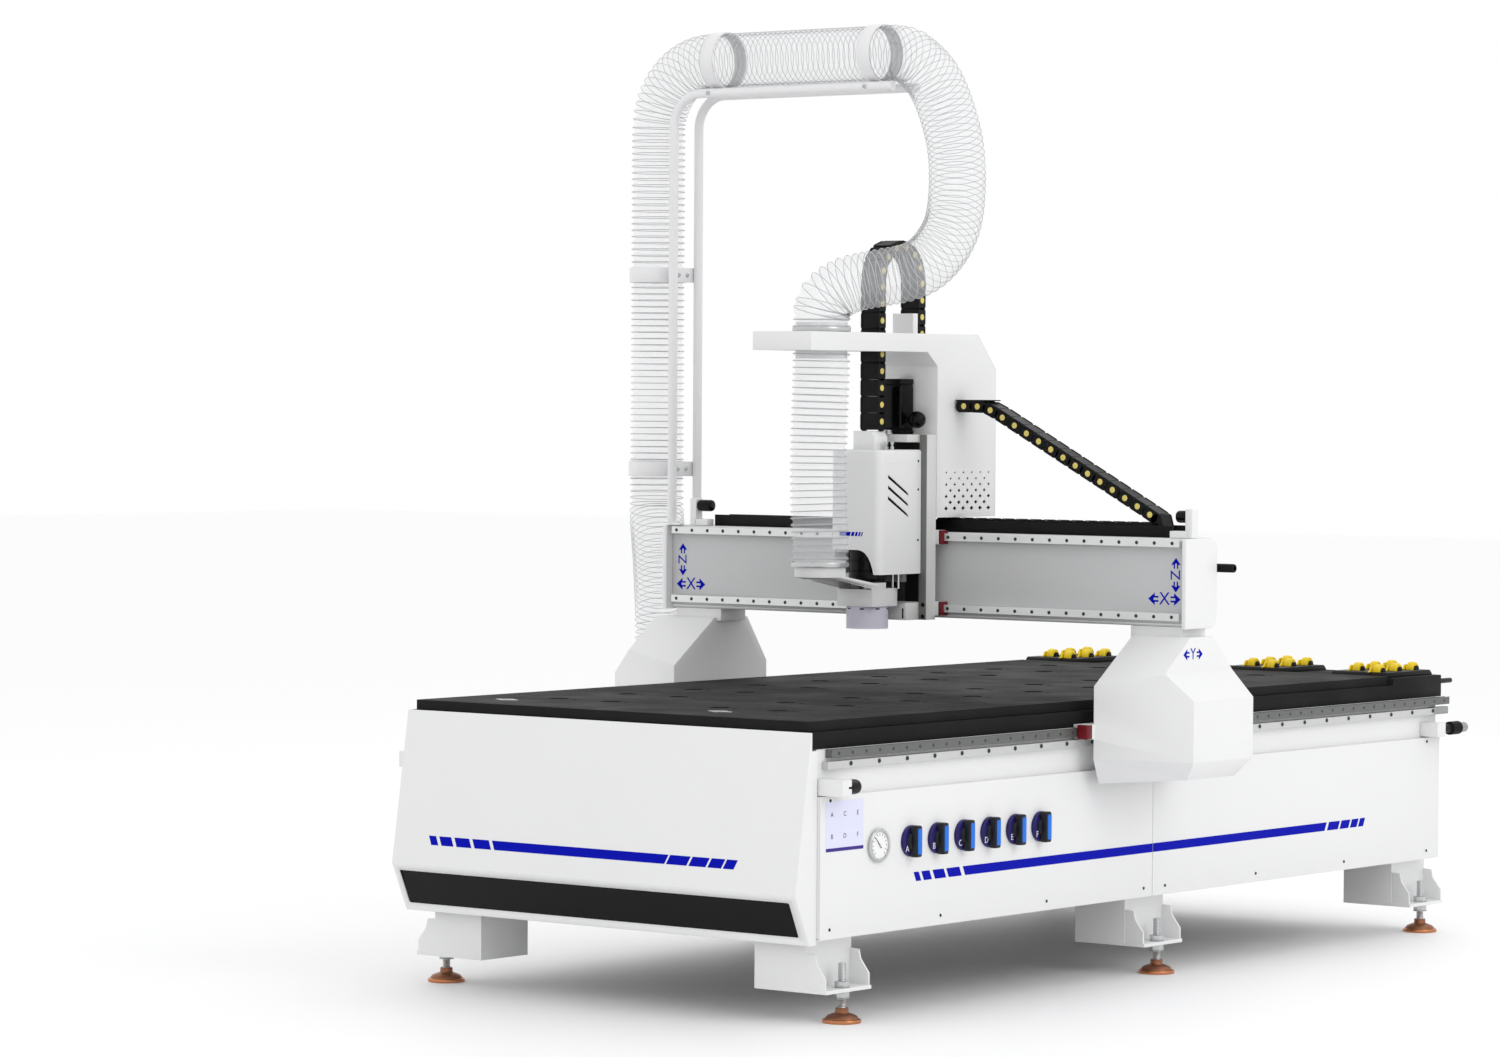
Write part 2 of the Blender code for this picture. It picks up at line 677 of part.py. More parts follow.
def z_chain():
    start, mid_z, bend = 1.240, 1.999, 0.097
    centre = start + bend
    path = [Vector((-0.033, start, z)) for z in (1.5573, 1.78, mid_z)]
    for k in range(1, 13):
        turn = math.pi - k * math.pi / 12
        path.append(Vector((-0.033, centre + bend * math.cos(turn), mid_z + bend * math.sin(turn))))
    path += [Vector((-0.033, start + 2 * bend, z)) for z in (1.80, 1.620)]
    frames = path_frames(path, (1, 0, 0))
    outline = [(-0.034, -0.019), (0.034, -0.019), (0.034, 0.019), (-0.034, 0.019)]
    return finish(swept("z_chain", frames, [outline]), "black_plastic")


def loop_path():
    route = [(-0.135, riser_y, top_hose_z), (-0.075, 1.479, 2.652), (0.020, 1.467, 2.572), (0.100, 1.445, 2.421),
             (0.141, 1.410, 2.282), (0.166, 1.352, 2.155), (0.164, 1.272, 2.066), (0.139, 1.196, 2.018),
             (0.084, 1.108, 1.996), (0.030, 1.034, 1.975), (-0.006, 0.986, 1.938), (drop_x, drop_y, 1.895)]
    start = [Vector((x, riser_y, top_hose_z)) for x in (-0.1697, -0.150)]
    return start + smooth_route(route, 2) + [Vector((drop_x, drop_y, z)) for z in (1.870, 1.8405)]


def carriage():
    column()
    carriage_cover()
    z_motor()
    z_chain()
    finish(hose("hose_loop", loop_path()), "clear_hose")


# ---- Z slide ----------------------------------------------------------------
def z_slide():
    plate = box("z_slide", (-0.104, 0.060), (1.2635, 1.2850), (1.1195, 1.480))
    parts = [box("bearing", (low, low + 0.040), (1.2840, column_front - gap), (1.250, 1.480))
             for low in (-0.100, 0.016)]
    holder = box("holder", (spindle_x - 0.066, spindle_x + 0.066), (1.146, 1.2640), (1.250, 1.450))
    bore = cylinder("bore", 2, (spindle_x, spindle_y), 0.0560, 1.2, 1.5, 24)
    parts.append(cut(holder, [bore]))
    return finish(fuse(plate, parts), "grey_paint")


def spindle():
    body = 0.0550
    profile = [(0, 1.1045), (0.026, 1.1045), (0.026, 1.1200), (0.048, 1.1210), (body, 1.1300), (body, 1.480),
               (0.050, 1.488), (0, 1.488)]
    return finish(turned("spindle", 2, (spindle_x, spindle_y), profile, 24), "black_plastic")


def spindle_cover():
    low_x, high_x, front, back, bottom, top, wall = -0.113, 0.069, 1.140, 1.340, 1.143, 1.503, 0.003
    shell = box("spindle_cover", (low_x, high_x), (front, back), (bottom, top))
    inside = box("inside", (low_x + wall, high_x - wall), (front + wall, back + 0.1), (bottom - 0.1, top - wall))
    mouth = [(-0.125, 1.0), (0.047, 1.0), (0.047, 1.150), (0.034, 1.190), (0.018, 1.208), (-0.006, 1.213),
             (-0.125, 1.213)]
    cut(shell, [inside, prism("mouth", 1, mouth, front - 0.1, front + 0.022)])
    bracket = box("bracket", (-0.072, 0.006), (1.197, 1.262), (top - 0.001, 1.557))
    return finish(fuse(shell, [bracket]), "white_paint")


def collet_tool():
    profile = [(0, 0.992), (0.0040, 0.994), (0.0040, 1.030), (0.0063, 1.032), (0.0063, 1.062), (0.016, 1.064),
               (0.019, 1.070), (0.019, 1.094), (0.014, 1.0965), (0.014, 1.1042), (0, 1.1042)]
    tool = turned("collet_tool", 2, (spindle_x, spindle_y), profile, 16)
    return finish(tool, "zinc", (spindle_x, spindle_y, 1.1042))


# a duct that turns from the round hose spigot into the square hood round the spindle nose
def duct(name, over, thin, floor):
    sides = 24
    mouth = (spindle_x, 1.205)
    round_reach = (spigot_outer - thin, spigot_outer - thin)
    square_reach = (0.0610 - thin, 0.0570 - thin)
    rings = []
    bm = bmesh.new()
    for centre, reach, height, square in (((drop_x, drop_y), round_reach, 1.186 + over, False),
                                          ((drop_x, drop_y), round_reach, 1.140, False),
                                          (mouth, square_reach, 1.102 - thin, True),
                                          (mouth, square_reach, floor, True)):
        ring = []
        for cos_part, sin_part in round_outline(1.0, sides):
            stretch = max(abs(cos_part), abs(sin_part)) if square else 1.0
            ring.append(bm.verts.new((centre[0] + reach[0] * cos_part / stretch,
                                      centre[1] + reach[1] * sin_part / stretch, height)))
        rings.append(ring)
    for low, high in zip(rings, rings[1:]):
        for k in range(sides):
            n = (k + 1) % sides
            bm.faces.new((low[k], low[n], high[n], high[k]))
    bm.faces.new(rings[0])
    bm.faces.new(rings[-1])
    bmesh.ops.triangulate(bm, faces=[f for f in bm.faces])
    return add_object(name, bm)


def dust_shoe():
    low_x, high_x, front, back, bottom, top = -0.0855, 0.0415, 1.145, 1.265, 1.050, 1.119
    wall = 0.003
    shoe = box("dust_shoe", (low_x, high_x), (front, back), (bottom, top))
    fuse(shoe, [duct("hood", 0.0, 0.0, bottom + 0.004)])
    openings = [box("mouth", (low_x + wall, high_x - wall), (front + wall, back - wall), (1.0, top - wall)),
                duct("air", 0.02, wall, bottom + 0.012),
                cylinder("nose_hole", 2, (spindle_x, spindle_y), 0.0285, 1.0, 1.2, 24)]
    return finish(cut(shoe, openings), "white_paint")


def brush_skirt():
    outer, inner, top = 0.0610, 0.0590, 1.050 - gap
    profile = [(inner, 0.985), (outer, 0.985), (outer, top), (inner - 0.012, top), (inner - 0.012, top - 0.003),
               (inner, top - 0.003)]
    return finish(turned("brush_skirt", 2, (spindle_x, spindle_y), profile, 28), "frosted_skirt")


def z_group():
    z_slide()
    spindle()
    spindle_cover()
    collet_tool()
    dust_shoe()
    brush_skirt()
    drop = [Vector((drop_x, drop_y, 1.166 + k * (1.7868 - 1.166) / 8)) for k in range(9)]
    finish(hose("hose_drop", drop), "clear_hose")


clear_scene()
bed()
gantry()
carriage()
z_group()
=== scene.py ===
import math

import bmesh
import bpy
from mathutils import Matrix, Vector


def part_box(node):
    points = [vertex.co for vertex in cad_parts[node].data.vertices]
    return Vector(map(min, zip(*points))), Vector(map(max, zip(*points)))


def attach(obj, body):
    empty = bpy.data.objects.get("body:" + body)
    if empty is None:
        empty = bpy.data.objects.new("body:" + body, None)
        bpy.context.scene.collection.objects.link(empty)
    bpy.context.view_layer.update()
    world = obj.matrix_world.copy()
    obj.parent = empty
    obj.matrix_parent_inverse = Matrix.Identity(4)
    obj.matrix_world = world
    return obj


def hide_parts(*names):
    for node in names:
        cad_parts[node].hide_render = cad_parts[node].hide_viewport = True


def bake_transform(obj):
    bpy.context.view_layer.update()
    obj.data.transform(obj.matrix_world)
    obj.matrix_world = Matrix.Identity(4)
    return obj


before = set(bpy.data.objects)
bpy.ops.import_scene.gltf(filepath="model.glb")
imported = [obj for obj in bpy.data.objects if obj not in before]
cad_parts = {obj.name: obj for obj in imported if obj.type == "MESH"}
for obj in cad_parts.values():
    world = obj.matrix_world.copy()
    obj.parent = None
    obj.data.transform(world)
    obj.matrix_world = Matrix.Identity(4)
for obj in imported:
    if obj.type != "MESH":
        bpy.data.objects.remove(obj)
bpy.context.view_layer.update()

bedLow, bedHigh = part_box("table_base")
# everything below is measured from the middle of the table's front edge, at floor level
toFrame = Vector(((bedLow[0] + bedHigh[0]) / 2, bedLow[1], 0.0))


# finishes: colour, roughness, metal, grain per metre, bump in mm, mottle, shine (the specular level), alpha
finishes = {
    "whitePowder": dict(colour=(0.79, 0.792, 0.795), rough=0.42, grain=420, bump=0.012, mottle=0.012,
                        shine=0.35),
    "whiteSheet": dict(colour=(0.80, 0.802, 0.806), rough=0.38, grain=500, bump=0.010, mottle=0.010,
                       shine=0.40),
    "beamGrey": dict(colour=(0.56, 0.565, 0.57), rough=0.40, grain=380, bump=0.012, mottle=0.015, shine=0.3),
    "columnGrey": dict(colour=(0.66, 0.665, 0.655), rough=0.36, grain=300, bump=0.012, mottle=0.02,
                       shine=0.3),
    "stripOlive": dict(colour=(0.17, 0.175, 0.165), rough=0.42, grain=300, bump=0.015, mottle=0.05,
                       shine=0.3),
    "blackBoard": dict(colour=(0.011, 0.011, 0.011), rough=0.64, grain=90, bump=0.006, mottle=0.12,
                       shine=0.12),
    "boardLine": dict(colour=(0.060, 0.060, 0.060), rough=0.55, grain=90, bump=0.0, mottle=0.05, shine=0.2),
    "blackPlastic": dict(colour=(0.005, 0.005, 0.006), rough=0.42, grain=900, bump=0.02, mottle=0.12,
                         shine=0.14),
    "blackGloss": dict(colour=(0.002, 0.002, 0.0024), rough=0.18, grain=30, bump=0.004, mottle=0.1,
                       shine=0.16),
    "rubber": dict(colour=(0.007, 0.007, 0.008), rough=0.60, grain=700, bump=0.03, mottle=0.1, shine=0.1),
    "railSteel": dict(colour=(0.76, 0.765, 0.765), rough=0.34, metal=0.55, grain=40, bump=0.0, mottle=0.012),
    # the Y rails' dark grey is painted shade: their steel as it looks in the shadow of the ledge above them
    "railPaintedShade": dict(colour=(0.15, 0.155, 0.15), rough=0.36, metal=0.5, grain=60, bump=0.0, mottle=0.05,
                      shine=0.3),
    "rackSteel": dict(colour=(0.58, 0.585, 0.58), rough=0.42, metal=0.4, grain=60, bump=0.0, mottle=0.03),
    "castGrey": dict(colour=(0.34, 0.35, 0.36), rough=0.45, metal=0.6, grain=200, bump=0.01, mottle=0.06),
    "zinc": dict(colour=(0.55, 0.56, 0.565), rough=0.30, metal=0.9, grain=120, bump=0.002, mottle=0.05),
    "darkSteel": dict(colour=(0.030, 0.055, 0.042), rough=0.40, metal=0.3, grain=400, bump=0.005, mottle=0.15,
                      shine=0.3),
    "bronze": dict(colour=(0.27, 0.115, 0.060), rough=0.36, metal=0.8, grain=160, bump=0.015, mottle=0.12),
    "copper": dict(colour=(0.52, 0.21, 0.10), rough=0.28, metal=0.95, grain=160, bump=0.01, mottle=0.10),
    "printBlue": dict(colour=(0.0015, 0.0050, 0.40), rough=0.45, grain=600, bump=0.0, mottle=0.03,
                      shine=0.04),
    "insertBlue": dict(colour=(0.004, 0.16, 0.70), rough=0.34, grain=600, bump=0.005, mottle=0.04, shine=0.3),
    "plateViolet": dict(colour=(0.016, 0.012, 0.115), rough=0.38, grain=500, bump=0.005, mottle=0.05,
                        shine=0.25),
    "handleGrey": dict(colour=(0.010, 0.012, 0.017), rough=0.42, grain=900, bump=0.02, mottle=0.08,
                       shine=0.25),
    "sticker": dict(colour=(0.72, 0.73, 0.90), rough=0.32, grain=300, bump=0.0, mottle=0.01, shine=0.3),
    "printPurple": dict(colour=(0.045, 0.022, 0.24), rough=0.38, grain=300, bump=0.0, mottle=0.02, shine=0.2),
    "printWhite": dict(colour=(0.85, 0.85, 0.88), rough=0.40, grain=300, bump=0.0, mottle=0.01),
    "printBlack": dict(colour=(0.02, 0.02, 0.035), rough=0.40, grain=300, bump=0.0, mottle=0.02, shine=0.2),
    "chrome": dict(colour=(0.62, 0.62, 0.62), rough=0.14, metal=1.0, grain=80, bump=0.0, mottle=0.03),
    "dial": dict(colour=(0.86, 0.86, 0.85), rough=0.45, grain=200, bump=0.0, mottle=0.01, shine=0.3),
    "wheelYellow": dict(colour=(0.83, 0.60, 0.006), rough=0.38, grain=500, bump=0.01, mottle=0.05,
                        shine=0.35),
    "discCream": dict(colour=(0.72, 0.60, 0.16), rough=0.42, grain=500, bump=0.01, mottle=0.05, shine=0.3),
    "sealRed": dict(colour=(0.15, 0.006, 0.012), rough=0.38, grain=500, bump=0.01, mottle=0.1, shine=0.3),
    "clampWhite": dict(colour=(0.80, 0.80, 0.81), rough=0.38, grain=400, bump=0.01, mottle=0.012, shine=0.35),
    "wire": dict(colour=(0.50, 0.505, 0.515), rough=0.30, metal=0.0, grain=100, bump=0.0, mottle=0.08),
    "clearHose": dict(colour=(0.90, 0.91, 0.93), rough=0.10, grain=60, bump=0.02, mottle=0.01, alpha=0.12,
                      shine=0.8),
    "skirt": dict(colour=(0.72, 0.71, 0.82), rough=0.45, grain=900, bump=0.05, mottle=0.04, alpha=0.72,
                  shine=0.4),
}
made = {}


def finish(name):
    if name in made:
        return made[name]
    look = finishes[name]
    mat = bpy.data.materials.new(name)
    mat.use_nodes = True
    nodes, links = mat.node_tree.nodes, mat.node_tree.links
    shader = nodes["Principled BSDF"]
    shader.inputs["Metallic"].default_value = look.get("metal", 0.0)
    shader.inputs["Specular IOR Level"].default_value = look.get("shine", 0.5)
    shader.inputs["Alpha"].default_value = look.get("alpha", 1.0)
    coords = nodes.new("ShaderNodeTexCoord")
    fine = nodes.new("ShaderNodeTexNoise")
    fine.inputs["Scale"].default_value = look["grain"]
    fine.inputs["Detail"].default_value = 3.0
    broad = nodes.new("ShaderNodeTexNoise")
    broad.inputs["Scale"].default_value = 5.0
    broad.inputs["Detail"].default_value = 4.0
    for noise in (fine, broad):
        links.new(coords.outputs["Object"], noise.inputs["Vector"])
    both = nodes.new("ShaderNodeMath")
    both.operation = "ADD"
    links.new(fine.outputs["Fac"], both.inputs[0])
    links.new(broad.outputs["Fac"], both.inputs[1])
    tint = nodes.new("ShaderNodeMapRange")
    tint.inputs["From Min"].default_value = 0.6
    tint.inputs["From Max"].default_value = 1.4
    links.new(both.outputs[0], tint.inputs["Value"])
    ramp = nodes.new("ShaderNodeValToRGB")
    dark, light = (1.0 - look["mottle"]), (1.0 + look["mottle"])
    ramp.color_ramp.elements[0].color = (*[min(1.0, c * dark) for c in look["colour"]], 1)
    ramp.color_ramp.elements[1].color = (*[min(1.0, c * light) for c in look["colour"]], 1)
    links.new(tint.outputs["Result"], ramp.inputs["Fac"])
    links.new(ramp.outputs["Color"], shader.inputs["Base Color"])
    gloss = nodes.new("ShaderNodeMapRange")
    gloss.inputs["From Min"].default_value = 0.3
    gloss.inputs["From Max"].default_value = 0.7
    gloss.inputs["To Min"].default_value = look["rough"] * 0.85
    gloss.inputs["To Max"].default_value = min(1.0, look["rough"] * 1.18)
    links.new(broad.outputs["Fac"], gloss.inputs["Value"])
    links.new(gloss.outputs["Result"], shader.inputs["Roughness"])
    bump = nodes.new("ShaderNodeBump")
    bump.inputs["Strength"].default_value = 0.5
    bump.inputs["Distance"].default_value = look["bump"] / 1000
    links.new(fine.outputs["Fac"], bump.inputs["Height"])
    links.new(bump.outputs["Normal"], shader.inputs["Normal"])
    made[name] = mat
    return mat


# modelling helpers
def lone(obj):
    bpy.ops.object.select_all(action="DESELECT")
    obj.select_set(True)
    bpy.context.view_layer.objects.active = obj


def fixed(obj):  # place, turn and size go into the mesh
    lone(obj)
    bpy.ops.object.transform_apply(location=True, rotation=True, scale=True)
    return obj


def painted(obj, mat):
    obj.data.materials.clear()
    obj.data.materials.append(finish(mat))
    return obj


def smoothed(obj, angle=38):
    lone(obj)
    bpy.ops.object.shade_smooth_by_angle(angle=math.radians(angle))
    return obj


def applied(obj, kind, **settings):
    modifier = obj.modifiers.new("step", kind)
    for key, value in settings.items():
        setattr(modifier, key, value)
    lone(obj)
    bpy.ops.object.modifier_apply(modifier=modifier.name)
    return obj


def rounded(obj, width, segments=2, angle=32):
    applied(obj, "BEVEL", width=width, segments=segments, limit_method="ANGLE",
            angle_limit=math.radians(angle))
    return smoothed(obj)


def block(xs, ys, zs, mat, edge=0.001, segments=2):
    low, high = Vector((min(xs), min(ys), min(zs))), Vector((max(xs), max(ys), max(zs)))
    bpy.ops.mesh.primitive_cube_add(size=1, location=(low + high) / 2)
    obj = bpy.context.object
    obj.scale = high - low
    painted(fixed(obj), mat)
    return rounded(obj, edge, segments) if edge else obj


# a flat outline across one axis, pushed along it:
# a circle with as many corners, moved into place, then extruded
def prism(outline, axis, start, end, mat, edge=0.0, segments=2):
    bpy.ops.mesh.primitive_circle_add(vertices=len(outline), radius=1, fill_type="NGON", location=(0, 0, 0))
    obj = bpy.context.object
    across = [i for i in range(3) if i != axis]
    for vert, corner in zip(obj.data.vertices, outline):
        vert.co[axis] = start
        vert.co[across[0]], vert.co[across[1]] = corner
    push = [0.0, 0.0, 0.0]
    push[axis] = end - start
    bpy.ops.object.mode_set(mode="EDIT")
    bpy.ops.mesh.select_all(action="SELECT")
    bpy.ops.mesh.extrude_region_move(TRANSFORM_OT_translate={"value": push})
    bpy.ops.mesh.select_all(action="SELECT")
    bpy.ops.mesh.normals_make_consistent(inside=False)
    bpy.ops.object.mode_set(mode="OBJECT")
    painted(obj, mat)
    return rounded(obj, edge, segments) if edge else obj


# a (radius, height) outline spun round an axis; an outline that starts and ends at radius 0 stays open there
def spun(outline, centre, mat, sides=32, axis=2):
    closed = outline[0][0] > 0
    bpy.ops.mesh.primitive_circle_add(vertices=len(outline), radius=1, fill_type="NOTHING",
                                      location=(0, 0, 0))
    obj = bpy.context.object
    for vert, (radius, height) in zip(obj.data.vertices, outline):
        vert.co = (radius, 0.0, height)
    bpy.ops.object.mode_set(mode="EDIT")
    if not closed:
        bpy.ops.mesh.select_all(action="DESELECT")
        work = bmesh.from_edit_mesh(obj.data)
        work.verts.ensure_lookup_table()
        for edge in [e for e in work.edges if e.verts[0].co.x < 1e-6 and e.verts[1].co.x < 1e-6]:
            work.edges.remove(edge)
        bmesh.update_edit_mesh(obj.data)
    bpy.ops.mesh.select_all(action="SELECT")
    bpy.ops.mesh.spin(steps=sides, angle=2 * math.pi, center=(0, 0, 0), axis=(0, 0, 1))
    bpy.ops.mesh.select_all(action="SELECT")
    bpy.ops.mesh.remove_doubles(threshold=0.00002)
    bpy.ops.mesh.normals_make_consistent(inside=False)
    bpy.ops.object.mode_set(mode="OBJECT")
    turns = {0: Matrix.Rotation(math.pi / 2, 4, "Y"), 1: Matrix.Rotation(-math.pi / 2, 4, "X"), 2: Matrix()}
    obj.data.transform(turns[axis])
    obj.data.transform(Matrix.Translation(centre))
    return smoothed(painted(obj, mat))


def rod(start, end, radius, mat, sides=20, edge=0.0008):
    start, end = Vector(start), Vector(end)
    length = (end - start).length
    obj = spun([(0, 0), (radius - edge, 0), (radius, edge), (radius, length - edge), (radius - edge, length),
                (0, length)], (0, 0, 0), mat, sides)
    turn = (end - start).to_track_quat("Z", "Y").to_matrix().to_4x4()
    obj.data.transform(Matrix.Translation(start) @ turn)
    return obj


def copied(obj, offset=(0, 0, 0), turn=None, about=(0, 0, 0)):
    twin = obj.copy()
    twin.data = obj.data.copy()
    bpy.context.scene.collection.objects.link(twin)
    if turn is not None:
        centre = Matrix.Translation(about)
        twin.data.transform(centre @ turn @ centre.inverted())
    twin.data.transform(Matrix.Translation(offset))
    return twin


# turns a piece into its other hand, across the bed's middle plane
def mirrored(obj):
    obj.data.transform(Matrix.Scale(-1, 4, (1, 0, 0)))
    obj.data.flip_normals()
    return obj


# a finished mesh as an object with its looks
def fromMesh(mesh, name, mat):
    data = bpy.data.meshes.new(name)
    mesh.to_mesh(data)
    mesh.free()
    obj = bpy.data.objects.new(name, data)
    bpy.context.scene.collection.objects.link(obj)
    return painted(obj, mat)


def joined(parts):
    bpy.ops.object.select_all(action="DESELECT")
    for part in parts:
        part.select_set(True)
    bpy.context.view_layer.objects.active = parts[0]
    if len(parts) > 1:
        bpy.ops.object.join()
    return bpy.context.view_layer.objects.active


def carved(obj, cutters):
    cutter = joined(cutters)
    applied(obj, "BOOLEAN", operation="DIFFERENCE", solver="EXACT", object=cutter, use_self=True)
    bpy.data.objects.remove(cutter, do_unlink=True)
    return obj


# a clean copy of a CAD solid to work on:
# doubles merged, flat faces made whole, moved to the machine's own zero
def fromNode(node, mat, edge=0.0, segments=2, angle=32):
    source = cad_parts[node]
    obj = bpy.data.objects.new("work", source.data.copy())
    bpy.context.scene.collection.objects.link(obj)
    obj.data.transform(Matrix.Translation(-toFrame))
    lone(obj)
    bpy.ops.object.mode_set(mode="EDIT")
    bpy.ops.mesh.select_all(action="SELECT")
    bpy.ops.mesh.remove_doubles(threshold=0.00002)
    bpy.ops.mesh.dissolve_limited(angle_limit=math.radians(0.5))
    bpy.ops.object.mode_set(mode="OBJECT")
    if obj.data.has_custom_normals:
        bpy.ops.mesh.customdata_custom_splitnormals_clear()
    painted(obj, mat)
    if edge:
        return rounded(obj, edge, segments, angle)
    return smoothed(obj)


def settled(name, parts, body, hides=()):
    piece = joined(parts)
    piece.name = name
    piece.data.name = name
    piece.data.transform(Matrix.Translation(toFrame))
    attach(piece, body)
    if hides:
        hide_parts(*hides)
    return piece


# a flat text, made a mesh and thickened a little
def lettering(words, size, place, turn, mat, thick=0.0003):
    bpy.ops.object.text_add(location=(0, 0, 0))
    obj = bpy.context.object
    obj.data.body = words
    obj.data.size = size
    obj.data.align_x = "CENTER"
    obj.data.align_y = "CENTER"
    obj.data.extrude = thick / 2
    obj.data.resolution_u = 3
    bpy.ops.object.convert(target="MESH")
    obj = bpy.context.object
    obj.data.transform(Matrix.Translation(place) @ turn)
    return painted(obj, mat)


facingFront = Matrix.Rotation(math.pi / 2, 4, "X")  # reads from -Y
facingRight = Matrix.Rotation(math.pi / 2, 4, "Z") @ facingFront  # reads from +X


def screwHead(centre, axis, mat="darkSteel", radius=0.0045, height=0.0022):
    head = spun([(0, 0), (radius, 0), (radius, height * 0.7), (radius * 0.82, height),
                 (radius * 0.45, height),
                 (radius * 0.45, height * 0.4), (0, height * 0.4)], centre, mat, 14, axis)
    return head


def spread(obj, offsets):
    return [obj] + [copied(obj, offset) for offset in offsets]


print("helpers ready")


# bed
panel = dict(face=0.722, seam=1.586)
bedStripe = dict(low=0.3545, high=0.3795, lean=0.012)
bedFeet = (0.144, 1.642, 3.119)


def bedFrame():
    weldment = fromNode("bed_frame", "whitePowder", 0.0012, 1)
    parts = [weldment]
    for side in (-1, 1):
        # the thin ledge under the table, and a plate that closes the inner end of each foot box
        parts.append(block((side * 0.7052, side * 0.7075), (0.022, 3.19), (0.7290, 0.7300), "whitePowder", 0))
        parts.append(block((side * 0.7040, side * 0.7190), (0.0188, 0.0330), (0.2320, 0.6040), "whitePowder",
                           0))
        for y in bedFeet:
            parts.append(block((side * 0.4842, side * 0.4872), (y - 0.0965, y + 0.0965), (0.0855, 0.2305),
                               "whitePowder", 0))
    settled("bedFrame", parts, "bed", ["bed_frame"])


def levellingFeet():
    parts = [
        spun([(0, 0.0002), (0.0515, 0.0002), (0.0522, 0.002), (0.0522, 0.007), (0.0505, 0.0095),
              (0.047, 0.0105),
              (0.044, 0.0106), (0, 0.0106)], (0, 0, 0), "copper", 48),
        spun([(0, 0.0105), (0.0455, 0.0105), (0.0450, 0.0125), (0.0390, 0.0190), (0.0280, 0.0235),
              (0.0190, 0.0262), (0.0175, 0.0300), (0.0175, 0.0385), (0.0160, 0.0400), (0, 0.0400)], (0, 0, 0),
             "bronze", 48),
    ]
    thread = [(0, 0.0395)]
    for k in range(60):
        thread.append((0.0100 if k % 2 else 0.0112, 0.040 + k * 0.0020))
    thread.append((0, 0.160))
    parts.append(spun(thread, (0, 0, 0), "zinc", 20))
    for low, high in ((0.0655, 0.0826), (0.0934, 0.1100)):
        bpy.ops.mesh.primitive_cylinder_add(vertices=6, radius=0.0205, depth=high - low,
                                            location=(0, 0, (low + high) / 2))
        parts.append(rounded(painted(fixed(bpy.context.object), "zinc"), 0.0016, 2))
        parts.append(spun([(0.0115, low - 0.0012), (0.0215, low - 0.0012), (0.0215, low), (0.0115, low)],
                          (0, 0, 0),
                          "zinc", 32))
    foot = joined(parts)
    for index, y in enumerate(bedFeet):
        for side, word in ((-1, "left"), (1, "right")):
            settled("levellingFoot_" + word + "_" + str(index + 1), [copied(foot, (side * 0.701, y, 0))],
                    "bed",
                    ["levelling_foot_" + word + "_" + str(index + 1)])
    bpy.data.objects.remove(foot, do_unlink=True)


nose = dict(top=0.775, topY=-0.008, kneeZ=0.350, kneeY=-0.074, lowZ=0.215, lowY=-0.012)


def onNose(x, z, lift=0.0):  # a point on the raked front face
    share = (nose["top"] - z) / (nose["top"] - nose["kneeZ"])
    return (x, nose["topY"] + share * (nose["kneeY"] - nose["topY"]) - lift, z)


# a thin printed shape: corners given by a function that maps (along, height, lift) to a point
def printed(corners, onFace, mat, thick=0.0004):
    bpy.ops.mesh.primitive_circle_add(vertices=len(corners), radius=1, fill_type="NGON", location=(0, 0, 0))
    obj = bpy.context.object
    for vert, (along, height) in zip(obj.data.vertices, corners):
        vert.co = onFace(along, height, 0.0001)
    push = Vector(onFace(0, 0.5, thick)) - Vector(onFace(0, 0.5, 0))
    bpy.ops.object.mode_set(mode="EDIT")
    bpy.ops.mesh.select_all(action="SELECT")
    bpy.ops.mesh.extrude_region_move(TRANSFORM_OT_translate={"value": push})
    bpy.ops.mesh.select_all(action="SELECT")
    bpy.ops.mesh.normals_make_consistent(inside=False)
    bpy.ops.object.mode_set(mode="OBJECT")
    return painted(obj, mat)


def leaning(start, end, low, high, leanStart, leanEnd):
    return [(start, low), (end, low), (end + leanEnd, high), (start + leanStart, high)]


def frontCover():
    cover = fromNode("front_cover", "whiteSheet", 0.0035, 3)
    slope = (nose["lowY"] - nose["kneeY"]) / (nose["kneeZ"] - nose["lowZ"])
    topZ, lowZ = 0.331, 0.236
    topY = nose["kneeY"] + (nose["kneeZ"] - topZ) * slope
    lowY = nose["kneeY"] + (nose["kneeZ"] - lowZ) * slope

    def shifted(depth):
        return [(topY + depth * 0.909, topZ + depth * 0.417), (lowY + depth * 0.909, lowZ + depth * 0.417)]

    mouth = prism(shifted(-0.02) + shifted(0.02)[::-1], 0, -0.692, 0.684, "whiteSheet")
    carved(cover, [rounded(mouth, 0.006, 3)])
    windowOutline = shifted(0.0035) + shifted(0.0065)[::-1]
    windowOutline = [(y + (0.004 if k in (0, 3) else -0.004) * -slope * 0.5,
                      z + (0.006 if k in (0, 3) else -0.006))
                       for k, (y, z) in enumerate(windowOutline)]
    window = prism(windowOutline, 0, -0.699, 0.691, "blackGloss")
    settled("frontWindow", [window], "bed")
    low, high, lean = 0.4075, 0.4325, 0.012
    shapes = []
    for start, end in ((-0.572, -0.546), (-0.534, -0.490), (-0.478, -0.424), (-0.412, -0.352)):
        shapes.append(leaning(start, end, low, high, -lean, -lean))
    shapes.append(leaning(-0.340, 0.262, low, high, -lean, lean))
    for start, end in ((0.268, 0.338), (0.345, 0.403), (0.410, 0.456), (0.462, 0.498)):
        shapes.append(leaning(start, end, low, high, lean, lean))
    settled("frontCover", [cover], "bed", ["front_cover"])
    settled("frontStripe", [printed(shape, onNose, "printBlue") for shape in shapes], "bed")


def onRight(y, z, lift=0.0):
    return (panel["face"] + lift, y, z)


